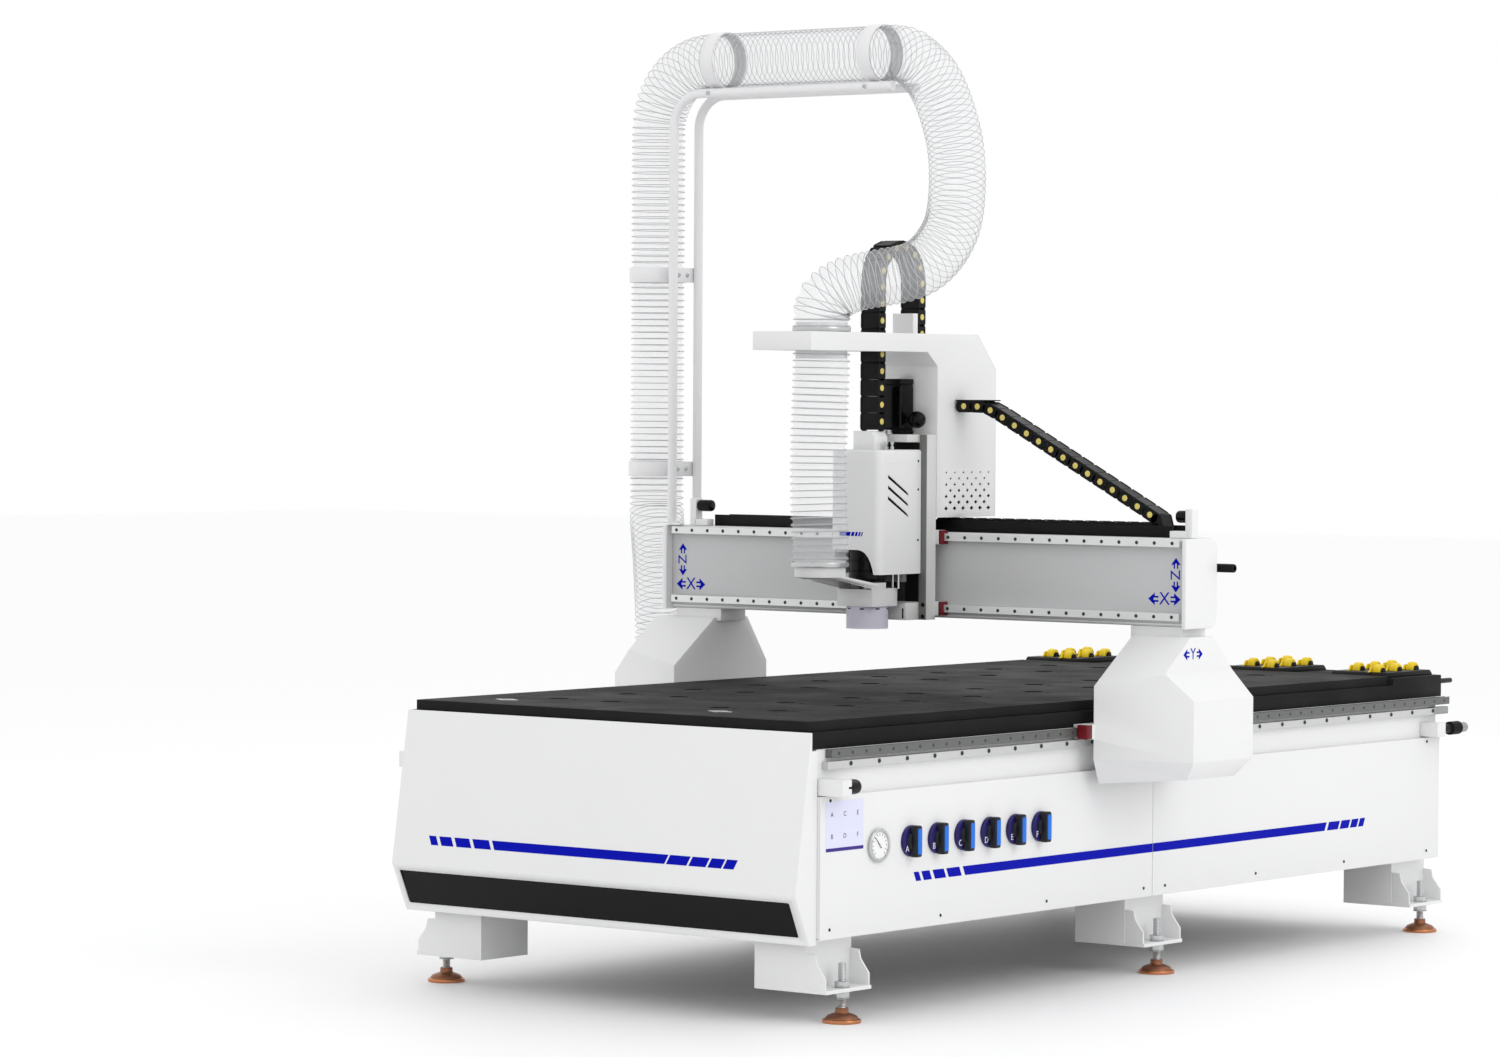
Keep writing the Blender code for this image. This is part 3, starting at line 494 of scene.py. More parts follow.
def sidePanels():
    for side, word in ((-1, "left"), (1, "right")):
        for end in ("front", "rear"):
            node = "side_panel_" + word + "_" + end
            parts = [fromNode(node, "whiteSheet", 0.0012, 2)]
            ys = (0.060, 0.555, 1.056, 1.541) if end == "front" else (1.651, 2.135, 2.631, 3.118)
            for y in ys:
                parts.append(screwHead((0, y, 0.2535), 0))
            top = (0.060, 0.555, 1.056, 1.541) if side < 0 else (0.061,)
            for y in (top if end == "front" else (3.116,)):
                parts.append(screwHead((0, y, 0.594), 0))
            for screw in parts[1:]:
                if side < 0:
                    screw.data.transform(Matrix.Scale(-1, 4, (1, 0, 0)))
                    screw.data.flip_normals()
                screw.data.transform(Matrix.Translation((side * (panel["face"] - 0.0005), 0, 0)))
            settled("sidePanel_" + word + "_" + end, parts, "bed", [node])
    low, high, lean = bedStripe["low"], bedStripe["high"], bedStripe["lean"]
    shapes = []
    for start, end in ((0.443, 0.466), (0.478, 0.515), (0.529, 0.580), (0.592, 0.652)):
        shapes.append(leaning(start, end, low, high, -lean, -lean))
    shapes.append(leaning(0.668, 2.518, low, high, -lean, lean))
    for start, end in ((2.532, 2.594), (2.604, 2.654), (2.664, 2.702), (2.711, 2.740)):
        shapes.append(leaning(start, end, low, high, lean, lean))
    # the long stripe is split where the two panels meet
    shapes[4] = leaning(0.668, panel["seam"] - 0.0012, low, high, -lean, 0)
    shapes.insert(5, leaning(panel["seam"] + 0.0012, 2.518, low, high, 0, lean))
    settled("sideStripe", [printed(shape, onRight, "printBlue") for shape in shapes], "bed")


def valveChart():
    plate = [(0.042, 0.459), (0.205, 0.459), (0.205, 0.592), (0.042, 0.592)]
    parts = [printed(plate, onRight, "sticker", 0.0006)]
    parts.append(printed([(0.042, 0.459), (0.205, 0.459), (0.205, 0.468), (0.042, 0.468)],
                         lambda y, z, lift: onRight(y, z, lift + 0.0006), "printPurple"))
    for row, words in ((0.556, "ACE"), (0.498, "BDF")):
        for k, letter in enumerate(words):
            parts.append(lettering(letter, 0.018, (panel["face"] + 0.0008, 0.068 + 0.056 * k, row),
                                   facingRight,
                                   "printBlack"))
    settled("valveChart", parts, "bed")


def yRails():
    for side, word in ((-1, "left"), (1, "right")):
        # the rail's dark finish is painted shade from the ledge above
        rail = fromNode("y_rail_" + word, "railPaintedShade", 0.0006, 1)
        bolt = spun([(0, 0), (0.0046, 0), (0.0046, 0.0006), (0.0040, 0.0010), (0.0022, 0.0010),
                     (0.0022, 0.0002),
                     (0, 0.0002)], (0.7277, 0.090, 0.7175), "darkSteel", 12, 0)
        if side < 0:
            bolt = mirrored(bolt)
        bolts = spread(bolt, [(0, 0.060 * k, 0) for k in range(1, 53)])
        settled("yRail_" + word, [rail] + bolts, "bed", ["y_rail_" + word])
        rack = fromNode("y_rack_" + word, "rackSteel", 0.0006, 1)
        bolt = spun([(0, -0.001), (0.0062, -0.001), (0.0062, 0.0012), (0.0054, 0.0020), (0.0030, 0.0020),
                     (0.0030, 0.0006), (0, 0.0006)], (0.7253, 0.145, 0.6885), "darkSteel", 14, 0)
        if side < 0:
            bolt = mirrored(bolt)
        bolts = spread(bolt, [(0, 0.125 * k, 0) for k in range(1, 25)])
        end = block((side * 0.7056, side * 0.7262), (3.150, 3.2375), (0.677, 0.6985), "castGrey", 0.001)
        settled("yRack_" + word, [rack] + bolts + [end], "bed", ["y_rack_" + word])


table = dict(top=0.803, portRadius=0.030, columns=(-0.425, -0.235, 0.150, 0.355), firstRow=0.305,
             rowPitch=0.300, rows=9)


def vacuumTable():
    slab = fromNode("vacuum_table", "blackBoard", 0.0015, 2)
    top = table["top"]
    cutters = []
    port = spun([(0, top - 0.004), (table["portRadius"], top - 0.004), (table["portRadius"], top + 0.01),
                 (0, top + 0.01)], (0, 0, 0), "blackBoard", 24)
    dash = block((0.044, 0.066), (-0.0065, 0.0065), (top - 0.003, top + 0.01), "blackBoard", 0)
    spots = [(x, table["firstRow"] + table["rowPitch"] * k)
             for x in table["columns"] for k in range(table["rows"])]
    for x, y in spots:
        cutters.append(copied(port, (x, y, 0)))
        cutters.append(copied(dash, (x, y, 0)))
    carved(slab, cutters)
    bpy.data.objects.remove(port, do_unlink=True)
    bpy.data.objects.remove(dash, do_unlink=True)
    fittings = []
    plug = spun([(0, top - 0.0039), (0.019, top - 0.0039), (0.021, top - 0.0030), (0.021, top - 0.0020),
                 (0.008, top - 0.0016), (0, top - 0.0016)], (0, 0, 0), "rubber", 20)
    for x, y in spots:
        fittings.append(copied(plug, (x, y, 0)))
    bpy.data.objects.remove(plug, do_unlink=True)
    for x, y in ((0.262, 0.170), (-0.493, 0.160)):
        fittings.append(spun([(0.013, top - 0.0002), (0.024, top - 0.0002), (0.024, top + 0.0012),
                              (0.022, top + 0.0020), (0.015, top + 0.0020), (0.013, top + 0.0012)], (x, y, 0),
                             "zinc", 28))
        for side in (-1, 1):
            fittings.append(spun([(0.002, top - 0.0002), (0.0085, top - 0.0002), (0.0085, top + 0.0012),
                                  (0.0070, top + 0.0018), (0.002, top + 0.0018)],
                                 (x + side * 0.031, y, 0), "zinc", 16))
    smoothed(slab, 20)
    line = block((-0.6875, 0.6875), (0.0350, 0.0374), (top - 0.0003, top + 0.0004), "boardLine", 0)
    lines = spread(line, [(0, 0.060 * k, 0) for k in range(1, 48)])
    settled("vacuumTable", [slab] + fittings + lines, "bed", ["vacuum_table"])
    settled("tableBase", [fromNode("table_base", "blackBoard", 0.0015, 2)], "bed",
            ["table_base"])


def yStops():
    for side, word in ((-1, "left"), (1, "right")):
        reach = 0.7935 if side > 0 else 0.7715
        plate = block((0.7055, reach), (0.0200, 0.0260), (0.6092, 0.6535), "whitePowder", 0.0008)
        foot = block((0.7055, 0.7120), (0.0255, 0.0618), (0.6092, 0.6535), "whitePowder", 0.0008)
        rib = prism([(0.711, 0.0255), (reach - 0.0005, 0.0255), (reach - 0.0005, 0.0618), (0.711, 0.0618)],
                    2, 0.6092,
                    0.6535, "whitePowder", 0.002, 2)
        cushion = spun([(0, 0.026), (0.0150, 0.026), (0.0190, 0.032), (0.0203, 0.050), (0.0203, 0.096),
                        (0.0190, 0.104), (0.0160, 0.1085), (0.0110, 0.1098), (0, 0.1098)],
                       (reach - 0.0205, 0, 0.6318),
                       "blackGloss", 32, 1)
        parts = [plate, foot, rib, cushion]
        for y in (0.040, 0.054):
            parts.append(screwHead((0.7118, y, 0.618), 0))
        body = joined(parts)
        if side < 0:
            mirrored(body)
        settled("yStop_" + word, [body], "bed", ["y_stop_" + word])


def feedRollers():
    startY, endY = 2.9367, 3.2178
    for index in range(4):
        middle = -0.5805 + 0.387 * index
        plate = prism([(startY, 0.7976), (endY, 0.7976), (endY - 0.006, 0.8050), (endY - 0.016, 0.8128),
                       (startY + 0.012, 0.8128), (startY + 0.004, 0.8060)], 0, middle - 0.099, middle + 0.099,
                      "blackPlastic", 0.0012, 2)
        parts = [plate]
        for row, shift in ((-1, 0.088), (1, 0.038)):
            for k in range(3):
                x, y = middle + row * 0.052, startY + shift + 0.100 * k
                parts.append(spun([(0, -0.0125), (0.0195, -0.0125), (0.0226, -0.0095), (0.0231, 0.0),
                                   (0.0226, 0.0095), (0.0195, 0.0125), (0.0110, 0.0125), (0.0105, 0.0135),
                                   (0, 0.0135)], (x, y, 0.8138), "wheelYellow", 32, 0))
                parts.append(spun([(0, 0.0130), (0.0125, 0.0130), (0.0120, 0.0175), (0.0060, 0.0185),
                                   (0, 0.0185)],
                                  (x, y, 0.8138), "blackPlastic", 20, 0))
                parts.append(prism([(y - 0.040, 0.8126), (y + 0.040, 0.8126), (y + 0.030, 0.8175),
                                    (y + 0.022, 0.8290), (y - 0.022, 0.8290), (y - 0.030, 0.8175)],
                                   0, x - 0.0185, x - 0.0135, "wheelYellow", 0.001, 1))
        solid = joined(parts)
        # nothing of a wheel goes below its plate
        lone(solid)
        bpy.ops.object.mode_set(mode="EDIT")
        bpy.ops.mesh.select_all(action="SELECT")
        bpy.ops.mesh.bisect(plane_co=(0, 0, 0.7975), plane_no=(0, 0, 1), use_fill=True, clear_inner=True)
        bpy.ops.object.mode_set(mode="OBJECT")
        settled("feedRoller_" + str(index + 1), [solid], "bed",
                ["feed_roller_" + str(index + 1)])


def valveHandles():
    for index, letter in enumerate("ABCDEF"):
        y, z, x = 0.415 + 0.1212 * index, 0.465, panel["face"] + 0.0004
        plate = spun([(0, 0), (0.0425, 0), (0.0425, 0.0080), (0.0400, 0.0105), (0.0300, 0.0115), (0, 0.0115)],
                     (x, y, z), "plateViolet", 40, 0)
        hub = spun([(0, 0.011), (0.0280, 0.011), (0.0265, 0.0170), (0.0240, 0.0200), (0.0240, 0.0218),
                    (0, 0.0218)],
                   (x, y, z), "handleGrey", 36, 0)
        grip = block((x + 0.010, x + 0.0345), (y - 0.0175, y + 0.0095), (z - 0.0425, z + 0.0425),
                     "handleGrey",
                     0.005, 3)
        insert = block((x + 0.020, x + 0.0358), (y - 0.0125, y + 0.0085), (z - 0.0355, z + 0.0355),
                       "insertBlue",
                       0.004, 3)
        mark = lettering(letter, 0.024, (x + 0.0118, y - 0.0285, z - 0.020), facingRight, "printWhite")
        settled("valveHandle_" + letter.lower(), [plate, hub, grip, insert, mark], "valve_" + letter.lower(),
                ["valve_handle_" + letter.lower()])


def vacuumGauge():
    x, y, z = panel["face"] + 0.0004, 0.268, 0.463
    case = spun([(0, 0), (0.0430, 0), (0.0430, 0.0035), (0.0450, 0.0045), (0.0455, 0.0085), (0.0440, 0.0110),
                 (0.0420, 0.0122), (0.0375, 0.0112), (0.0360, 0.0072), (0, 0.0072)], (x, y, z), "zinc", 56, 0)
    face = spun([(0, 0.0072), (0.0358, 0.0072), (0.0358, 0.0078), (0, 0.0078)], (x, y, z), "dial", 48, 0)
    parts = [case, face]
    tick = block((x + 0.0078, x + 0.0082), (y - 0.0006, y + 0.0006), (z + 0.0260, z + 0.0330), "printBlack",
                 0)
    for k in range(-6, 7):
        turn = Matrix.Rotation(math.radians(22.5 * k), 4, "X")
        parts.append(copied(tick, turn=turn, about=(x, y, z)))
    bpy.data.objects.remove(tick, do_unlink=True)
    needle = prism([(y - 0.0018, z - 0.009), (y + 0.0018, z - 0.009), (y + 0.0004, z + 0.029),
                    (y - 0.0004, z + 0.029)],
                   0, x + 0.0086, x + 0.0092, "printBlack")
    needle.data.transform(Matrix.Translation((x, y, z)) @ Matrix.Rotation(math.radians(42), 4, "X")
                          @ Matrix.Translation((-x, -y, -z)))
    parts.append(needle)
    parts.append(spun([(0, 0.0078), (0.0034, 0.0078), (0.0030, 0.0106), (0, 0.0106)], (x, y, z), "zinc", 20,
                      0))
    settled("vacuumGauge", parts, "bed", ["vacuum_gauge"])


def rearFittings():
    bracket = block((0.7056, 0.7697), (3.1003, 3.1497), (0.6103, 0.6537), "whitePowder", 0.002, 2)
    ribs = [(0, 3.1495), (0.0138, 3.1495), (0.0138, 3.2045), (0.0190, 3.2060)]
    for k in range(9):
        y = 3.2075 + k * 0.0058
        ribs += [(0.0208, y), (0.0208, y + 0.0034), (0.0196, y + 0.0040), (0.0196, y + 0.0054)]
    ribs += [(0.0160, 3.2615), (0, 3.2615)]
    barrel = spun(ribs, (0.748, 0, 0.632), "blackPlastic", 36, 1)
    stub = spun([(0, 3.2610), (0.0158, 3.2610), (0.0158, 3.2960), (0.0140, 3.2998), (0.0090, 3.2998),
                 (0.0090, 3.2900), (0, 3.2900)], (0.748, 0, 0.632), "castGrey", 32, 1)
    settled("airCoupling", [bracket, barrel, stub], "bed", ["air_coupling"])
    gland = spun([(0, 3.2265), (0.0128, 3.2265), (0.0128, 3.2330), (0.0110, 3.2378), (0.0080, 3.2390),
                  (0.0078, 3.3090), (0.0060, 3.3118), (0, 3.3118)], (0.690, 0, 0.776), "blackPlastic", 28, 1)
    settled("tableGland", [gland], "bed", ["table_gland"])


bedFrame()
levellingFeet()
frontCover()
sidePanels()
valveChart()
yRails()
vacuumTable()
yStops()
feedRollers()
valveHandles()
vacuumGauge()
rearFittings()
print("bed ready")


# gantry
beam = dict(front=1.4285, low=1.012, top=1.262, railFace=1.4075, railRows=(1.248, 1.040))


def onBeam(x, z, lift=0.0):
    return (x, beam["front"] - lift, z)


# a double arrow and its letter in a row; turned stands it up
def axisLabel(letter, centre, onFace, turn, size, upright=False):
    heads = []
    for way in (-1, 1):
        outline = [(0.42, -0.30), (0.85, -0.30), (0.85, -0.62), (1.62, 0.0), (0.85, 0.62), (0.85, 0.30),
                   (0.42, 0.30)]
        outline += [(0.42, 0.12), (0.98, 0.12), (0.98, -0.12), (0.42, -0.12)]
        corners = []
        for along, across in outline:
            along, across = way * (along + 0.30) * size, across * size
            corners.append((centre[0] + across, centre[1] + along) if upright else
                           (centre[0] + along, centre[1] + across))
        heads.append(printed(corners, onFace, "printBlue"))
    spot = Vector(onFace(centre[0], centre[1], 0.0003))
    stand = turn @ Matrix.Rotation(math.pi / 2, 4, "Z") if upright else turn
    heads.append(lettering(letter, size * 1.80, spot, stand, "printBlue"))
    return heads


def gantryBeam():
    tube = fromNode("gantry_beam", "beamGrey", 0.004, 3)
    parts = [tube]
    for z in (beam["low"] + 0.0065, beam["top"] - 0.0025):
        parts.append(block((-0.934, 0.934), (beam["front"] - 0.0025, beam["front"] + 0.002),
                           (z - 0.0022, z + 0.0022),
                           "whitePowder", 0.0006, 1))
    settled("gantryBeam", parts, "gantry", ["gantry_beam"])
    labels = axisLabel("Z", (0.898, 1.158), onBeam, facingFront, 0.0255, True)
    labels += axisLabel("X", (0.860, 1.0895), onBeam, facingFront, 0.0285)
    labels += axisLabel("Z", (-0.893, 1.158), onBeam, facingFront, 0.0255, True)
    labels += axisLabel("X", (-0.861, 1.0835), onBeam, facingFront, 0.0290)
    settled("beamLabels", labels, "gantry")


def xRails():
    for row, z in zip(("upper", "lower"), beam["railRows"]):
        rail = fromNode("x_rail_" + row, "railSteel", 0.0006, 1)
        bolt = spun([(0, -0.0005), (0.0052, -0.0005), (0.0052, 0.0006), (0.0046, 0.0011), (0.0024, 0.0011),
                     (0.0024, 0.0002), (0, 0.0002)], (0, 0, 0), "darkSteel", 14)
        bolt.data.transform(Matrix.Translation((-0.902, beam["railFace"], z)) @ Matrix.Rotation(math.pi / 2,
                                                                                                4, "X"))
        bolts = spread(bolt, [(0.060 * k, 0, 0) for k in range(1, 31)])
        settled("xRail_" + row, [rail] + bolts, "gantry", ["x_rail_" + row])
    rack = fromNode("x_rack", "rackSteel", 0.0006, 1)
    bolt = spun([(0, -0.0005), (0.0055, -0.0005), (0.0055, 0.0012), (0.0028, 0.0012), (0.0028, 0.0004),
                 (0, 0.0004)],
                (0, 0, 0), "darkSteel", 14)
    bolt.data.transform(Matrix.Translation((-0.875, 1.576, 1.2455)) @ Matrix.Rotation(-math.pi / 2, 4, "X"))
    settled("xRack", [rack] + spread(bolt, [(0.125 * k, 0, 0) for k in range(1, 15)]), "gantry",
            ["x_rack"])


def gantrySides():
    for side, word in ((-1, "left"), (1, "right")):
        cap = fromNode("beam_end_cover_" + word, "whiteSheet", 0.0035, 3)
        settled("beamEndCover_" + word, [cap], "gantry", ["beam_end_cover_" + word])
        leg = fromNode("gantry_leg_" + word, "whiteSheet", 0.0045, 3, 12)
        parts = [leg]
        for start, end, mat in ((1.2080, 1.2120, "blackPlastic"), (1.1868, 1.2080, "sealRed"),
                                (1.6148, 1.6190, "blackPlastic"), (1.6190, 1.6270, "sealRed")):
            seal = block((0.7305, 0.7650), (start, end), (0.6992, 0.7396), mat, 0.0016, 2)
            parts.append(seal if side > 0 else mirrored(seal))
        settled("gantryLeg_" + word, parts, "gantry", ["gantry_leg_" + word])

    def onLeg(y, z, lift=0.0):
        return (0.971 + lift, y, z)

    settled("legLabel", axisLabel("Y", (1.408, 0.938), onLeg, facingRight, 0.0255), "gantry")


def chainTray():
    settled("chainTray", [fromNode("chain_tray", "blackPlastic", 0.0008, 2)], "gantry",
            ["chain_tray"])


def xStops():
    for side, word in ((-1, "left"), (1, "right")):
        node = "x_stop_" + word
        post, inner, foot = (0.9260, 0.8920, (0.874, 0.930)) if side > 0 else (-0.8680, -0.7922,
                                                                               (-0.850, -0.8005))
        plate = block((post, post + 0.024), (1.4302, 1.4622), (1.2625, 1.3448), "whitePowder", 0.0025, 3)
        foot = block(foot, (1.4302, 1.4622), (1.2625, 1.2825), "whitePowder", 0.002, 2)
        base = post if side > 0 else post + 0.024
        cushion = spun([(0, 0.0), (0.0120, 0.0), (0.0165, 0.004), (0.0175, 0.010),
                        (0.0175, abs(inner - base) - 0.006),
                        (0.0160, abs(inner - base) - 0.002),
                        (0.0120, abs(inner - base)), (0, abs(inner - base))],
                       (0, 0, 0), "blackGloss", 28)
        way = -math.pi / 2 if side > 0 else math.pi / 2
        cushion.data.transform(Matrix.Translation((base, 1.446, 1.323)) @ Matrix.Rotation(way, 4, "Y"))
        settled("xStop_" + word, [plate, foot, cushion], "gantry", [node])
    glossRod = spun([(0, 0.8005), (0.0108, 0.8005), (0.0123, 0.803), (0.0123, 0.9870), (0.0108, 0.9898),
                     (0.0070, 0.9898), (0.0070, 0.9800), (0, 0.9800)],
                    (0, 1.590, 1.176), "blackPlastic", 28, 0)
    clip = block((0.830, 0.850), (1.5565, 1.590), (1.1665, 1.1855), "blackPlastic", 0.002, 2)
    settled("beamRearRod", [glossRod, clip], "gantry", ["beam_rear_rod"])


# a round bar along a row of points
def bentBar(points, radius, mat, sides=4):
    curve = bpy.data.curves.new("bar", "CURVE")
    curve.dimensions = "3D"
    curve.bevel_depth = radius
    curve.bevel_resolution = sides
    curve.use_fill_caps = True
    line = curve.splines.new("POLY")
    line.points.add(len(points) - 1)
    for spot, point in zip(line.points, points):
        spot.co = (*point, 1)
    obj = bpy.data.objects.new("bar", curve)
    bpy.context.scene.collection.objects.link(obj)
    lone(obj)
    bpy.ops.object.convert(target="MESH")
    return smoothed(painted(bpy.context.object, mat))


mast = dict(x=-0.930, ys=(1.420, 1.540), tube=0.014, bend=0.100, barZ=2.570, barEnd=-0.101, foot=1.2625)
riser = dict(x=-1.040, y=1.480, topZ=2.670)
hoseSize = dict(crest=0.0827, valley=0.0746, pitch=0.0195, sides=40, wire=0.0010)


def hoseMast():
    parts = []
    for y in mast["ys"]:
        corner = (mast["x"] + mast["bend"], mast["barZ"] - mast["bend"])
        route = [(mast["x"], y, mast["foot"]), (mast["x"], y, corner[1] - 0.001)]
        for k in range(0, 17):
            turn = math.pi - k * math.pi / 32
            route.append((corner[0] + mast["bend"] * math.cos(turn), y,
                          corner[1] + mast["bend"] * math.sin(turn)))
        route.append((mast["barEnd"], y, mast["barZ"]))
        parts.append(bentBar(route, mast["tube"], "clampWhite", 5))
        parts.append(block((mast["x"] - 0.003, mast["x"] + 0.0395), (y - 0.0118, y + 0.0118),
                           (mast["foot"], 1.2695),
                           "clampWhite", 0.0015, 2))
        parts.append(screwHead((mast["x"] + 0.030, y, 1.2690), 2, "zinc"))
    ring = [(0.0834, -0.0228), (0.0866, -0.0228), (0.0872, -0.0218), (0.0872, 0.0218), (0.0866, 0.0228),
            (0.0834, 0.0228)]
    for z in (2.024, 1.432):
        parts.append(spun(ring, (riser["x"], riser["y"], z), "clampWhite", 64))
        tab = block((mast["x"] - 0.0145, mast["x"] - 0.0115), (1.4145, 1.5495), (z - 0.0222, z + 0.0222),
                    "clampWhite",
                    0.0010, 2)
        parts.append(tab)
        parts.append(block((riser["x"] + 0.0845, mast["x"] - 0.012), (1.4700, 1.4900),
                           (z - 0.0222, z + 0.0222),
                           "clampWhite", 0.0010, 2))
        for y in (1.4600, 1.5000):
            parts.append(screwHead((mast["x"] - 0.0117, y, z), 0, "zinc", 0.0065, 0.0045))
    for x in (-0.788, -0.196):
        parts.append(spun(ring, (x, riser["y"], riser["topZ"]), "clampWhite", 64, 0))
        parts.append(block((x - 0.0222, x + 0.0222), (1.4165, 1.5435), (2.5785, 2.5840), "clampWhite",
                           0.0010, 2))
        screw = screwHead((0, 0, 0), 2, "zinc", 0.0070, 0.0040)
        screw.data.transform(Matrix.Translation((x, mast["ys"][0] - mast["tube"] + 0.0006, 2.570))
                             @ Matrix.Rotation(math.pi / 2, 4, "X"))
        parts.append(screw)
    settled("hoseMast", parts, "gantry", ["hose_mast"])


def evenly(path, pitch):  # points every pitch along a path
    lengths = [0.0]
    for a, b in zip(path, path[1:]):
        lengths.append(lengths[-1] + (b - a).length)
    count = max(2, round(lengths[-1] / pitch))
    result, k = [], 0
    for step in range(count + 1):
        want = lengths[-1] * step / count
        while k < len(path) - 2 and lengths[k + 1] < want:
            k += 1
        share = (want - lengths[k]) / (lengths[k + 1] - lengths[k])
        result.append(path[k].lerp(path[k + 1], min(1.0, share)))
    return result


def smoothRoute(route, steps):
    points = [Vector(p) for p in route]
    padded = [2 * points[0] - points[1]] + points + [2 * points[-1] - points[-2]]
    result = []
    for i in range(1, len(padded) - 2):
        a, b, c, d = padded[i - 1:i + 3]
        for k in range(steps):
            t = k / steps
            result.append(0.5 * (2 * b + (c - a) * t + (2 * a - 5 * b + 4 * c - d) * t ** 2
                                 + (3 * b - a - 3 * c + d) * t ** 3))
    result.append(points[-1])
    return result


def carried(points, side):  # section frames along points, without twist
    frames = []
    side = Vector(side)
    for i, point in enumerate(points):
        ahead = (points[min(i + 1, len(points) - 1)] - points[max(i - 1, 0)]).normalized()
        side = (side - side.dot(ahead) * ahead).normalized()
        frames.append((point, side, ahead.cross(side), ahead))
    return frames


# the clear hose: folds at an even pitch with a wire lying in each crest
def hose(name, path, node, ride=None):
    folds = 6
    stations = carried(evenly(path, hoseSize["pitch"] / folds), (0, 1, 0))
    sides = hoseSize["sides"]
    middle, swing = (hoseSize["crest"] + hoseSize["valley"]) / 2, (hoseSize["crest"] - hoseSize["valley"]) / 2
    mesh = bmesh.new()
    rows = []
    for index, (point, side, up, ahead) in enumerate(stations):
        wave = math.cos(2 * math.pi * index / folds)
        radius = middle - swing * (wave if abs(wave) < 0.9 else math.copysign(1.0, wave))
        ring = []
        for k in range(sides):
            turn = 2 * math.pi * k / sides
            ring.append(mesh.verts.new(point + radius * (math.cos(turn) * side + math.sin(turn) * up)))
        rows.append(ring)
    for low, high in zip(rows, rows[1:]):
        for k in range(sides):
            n = (k + 1) % sides
            mesh.faces.new((low[k], low[n], high[n], high[k]))
    bmesh.ops.recalc_face_normals(mesh, faces=mesh.faces)
    skin = fromMesh(mesh, name, "clearHose")
    applied(skin, "SOLIDIFY", thickness=0.0006, offset=-1.0)
    skin.data.shade_smooth()
    wires = bmesh.new()
    wireSides, wireRadius = 4, hoseSize["wire"]
    for index, (point, side, up, ahead) in enumerate(stations):
        if index % folds != folds // 2:
            continue
        loops = []
        for k in range(sides):
            turn = 2 * math.pi * k / sides
            out = math.cos(turn) * side + math.sin(turn) * up
            centre = point + (hoseSize["crest"] - wireRadius * 0.6) * out
            loop = []
            for m in range(wireSides):
                roll = 2 * math.pi * m / wireSides
                around = math.cos(roll) * out + math.sin(roll) * ahead
                loop.append(wires.verts.new(centre + wireRadius * around))
            loops.append(loop)
        for k in range(sides):
            for m in range(wireSides):
                a, b = loops[k], loops[(k + 1) % sides]
                wires.faces.new((a[m], b[m], b[(m + 1) % wireSides], a[(m + 1) % wireSides]))
    bmesh.ops.recalc_face_normals(wires, faces=wires.faces)
    wire = fromMesh(wires, name + "Wire", "wire")
    wire.data.shade_smooth()
    for piece in (skin, wire):
        piece.data.transform(Matrix.Translation(toFrame))
        if ride:
            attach(piece, ride)
        else:
            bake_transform(piece)
    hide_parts(node)


def hoses():
    x, y, top = riser["x"], riser["y"], riser["topZ"]
    low = [Vector((-1.150, 1.640, 0.600)), Vector((-1.150, 1.640, 0.720))]
    sway = smoothRoute([(-1.150, 1.640, 0.840), (-1.140, 1.628, 0.980), (-1.096, 1.564, 1.140),
                        (-1.048, 1.491, 1.280), (x, y, 1.360)], 8)
    bend = 0.205
    arc = []
    for k in range(25):
        turn = math.pi - k * math.pi / 48
        arc.append(Vector((x + bend + bend * math.cos(turn), y, top - bend + bend * math.sin(turn))))
    hose("hoseRiser", low + sway + [Vector((x, y, 2.0))] + arc + [Vector((-0.170, y, top))], "hose_riser",
         ride="gantry")
    route = [(-0.135, y, top), (-0.075, 1.479, 2.652), (0.020, 1.467, 2.572), (0.100, 1.445, 2.421),
             (0.141, 1.410, 2.282), (0.166, 1.352, 2.155), (0.164, 1.272, 2.066), (0.139, 1.196, 2.018),
             (0.084, 1.108, 1.996), (0.030, 1.034, 1.975), (-0.006, 0.986, 1.938), (-0.015, 0.970, 1.895)]
    loop = [Vector((-0.1697, y, top))] + smoothRoute(route, 10) + [Vector((-0.015, 0.970, 1.8405))]
    hose("hoseLoop", loop, "hose_loop")
    drop = smoothRoute([(-0.015, 0.970, 1.7868), (-0.0165, 0.970, 1.700), (-0.0205, 0.969, 1.560),
                        (-0.0215, 0.968, 1.420), (-0.0175, 0.969, 1.290), (-0.015, 0.970, 1.200),
                        (-0.015, 0.970, 1.1665)], 6)
    hose("hoseDrop", drop, "hose_drop")
    cuff = [(0.0795, 0.600), (0.0850, 0.600), (0.0855, 0.603), (0.0855, 0.652), (0.0850, 0.655),
            (0.0795, 0.655)]
    settled("riserCuff", [spun(cuff, (-1.150, 1.640, 0), "zinc", 56)], "gantry")


def wormClamp(z, body, name):  # a thin steel band with its screw housing
    x, y = -0.015, 0.970
    band = spun([(0.0822, z - 0.0065), (0.0832, z - 0.0065), (0.0836, z - 0.0055), (0.0836, z + 0.0055),
                 (0.0832, z + 0.0065), (0.0822, z + 0.0065)], (x, y, 0), "zinc", 64)
    housing = block((x - 0.012, x + 0.012), (y + 0.0825, y + 0.0905), (z - 0.0075, z + 0.0075), "zinc",
                    0.002, 2)
    screw = rod((x - 0.018, y + 0.0885, z), (x + 0.020, y + 0.0885, z), 0.0038, "zinc", 14)
    settled(name, [band, housing, screw], body)


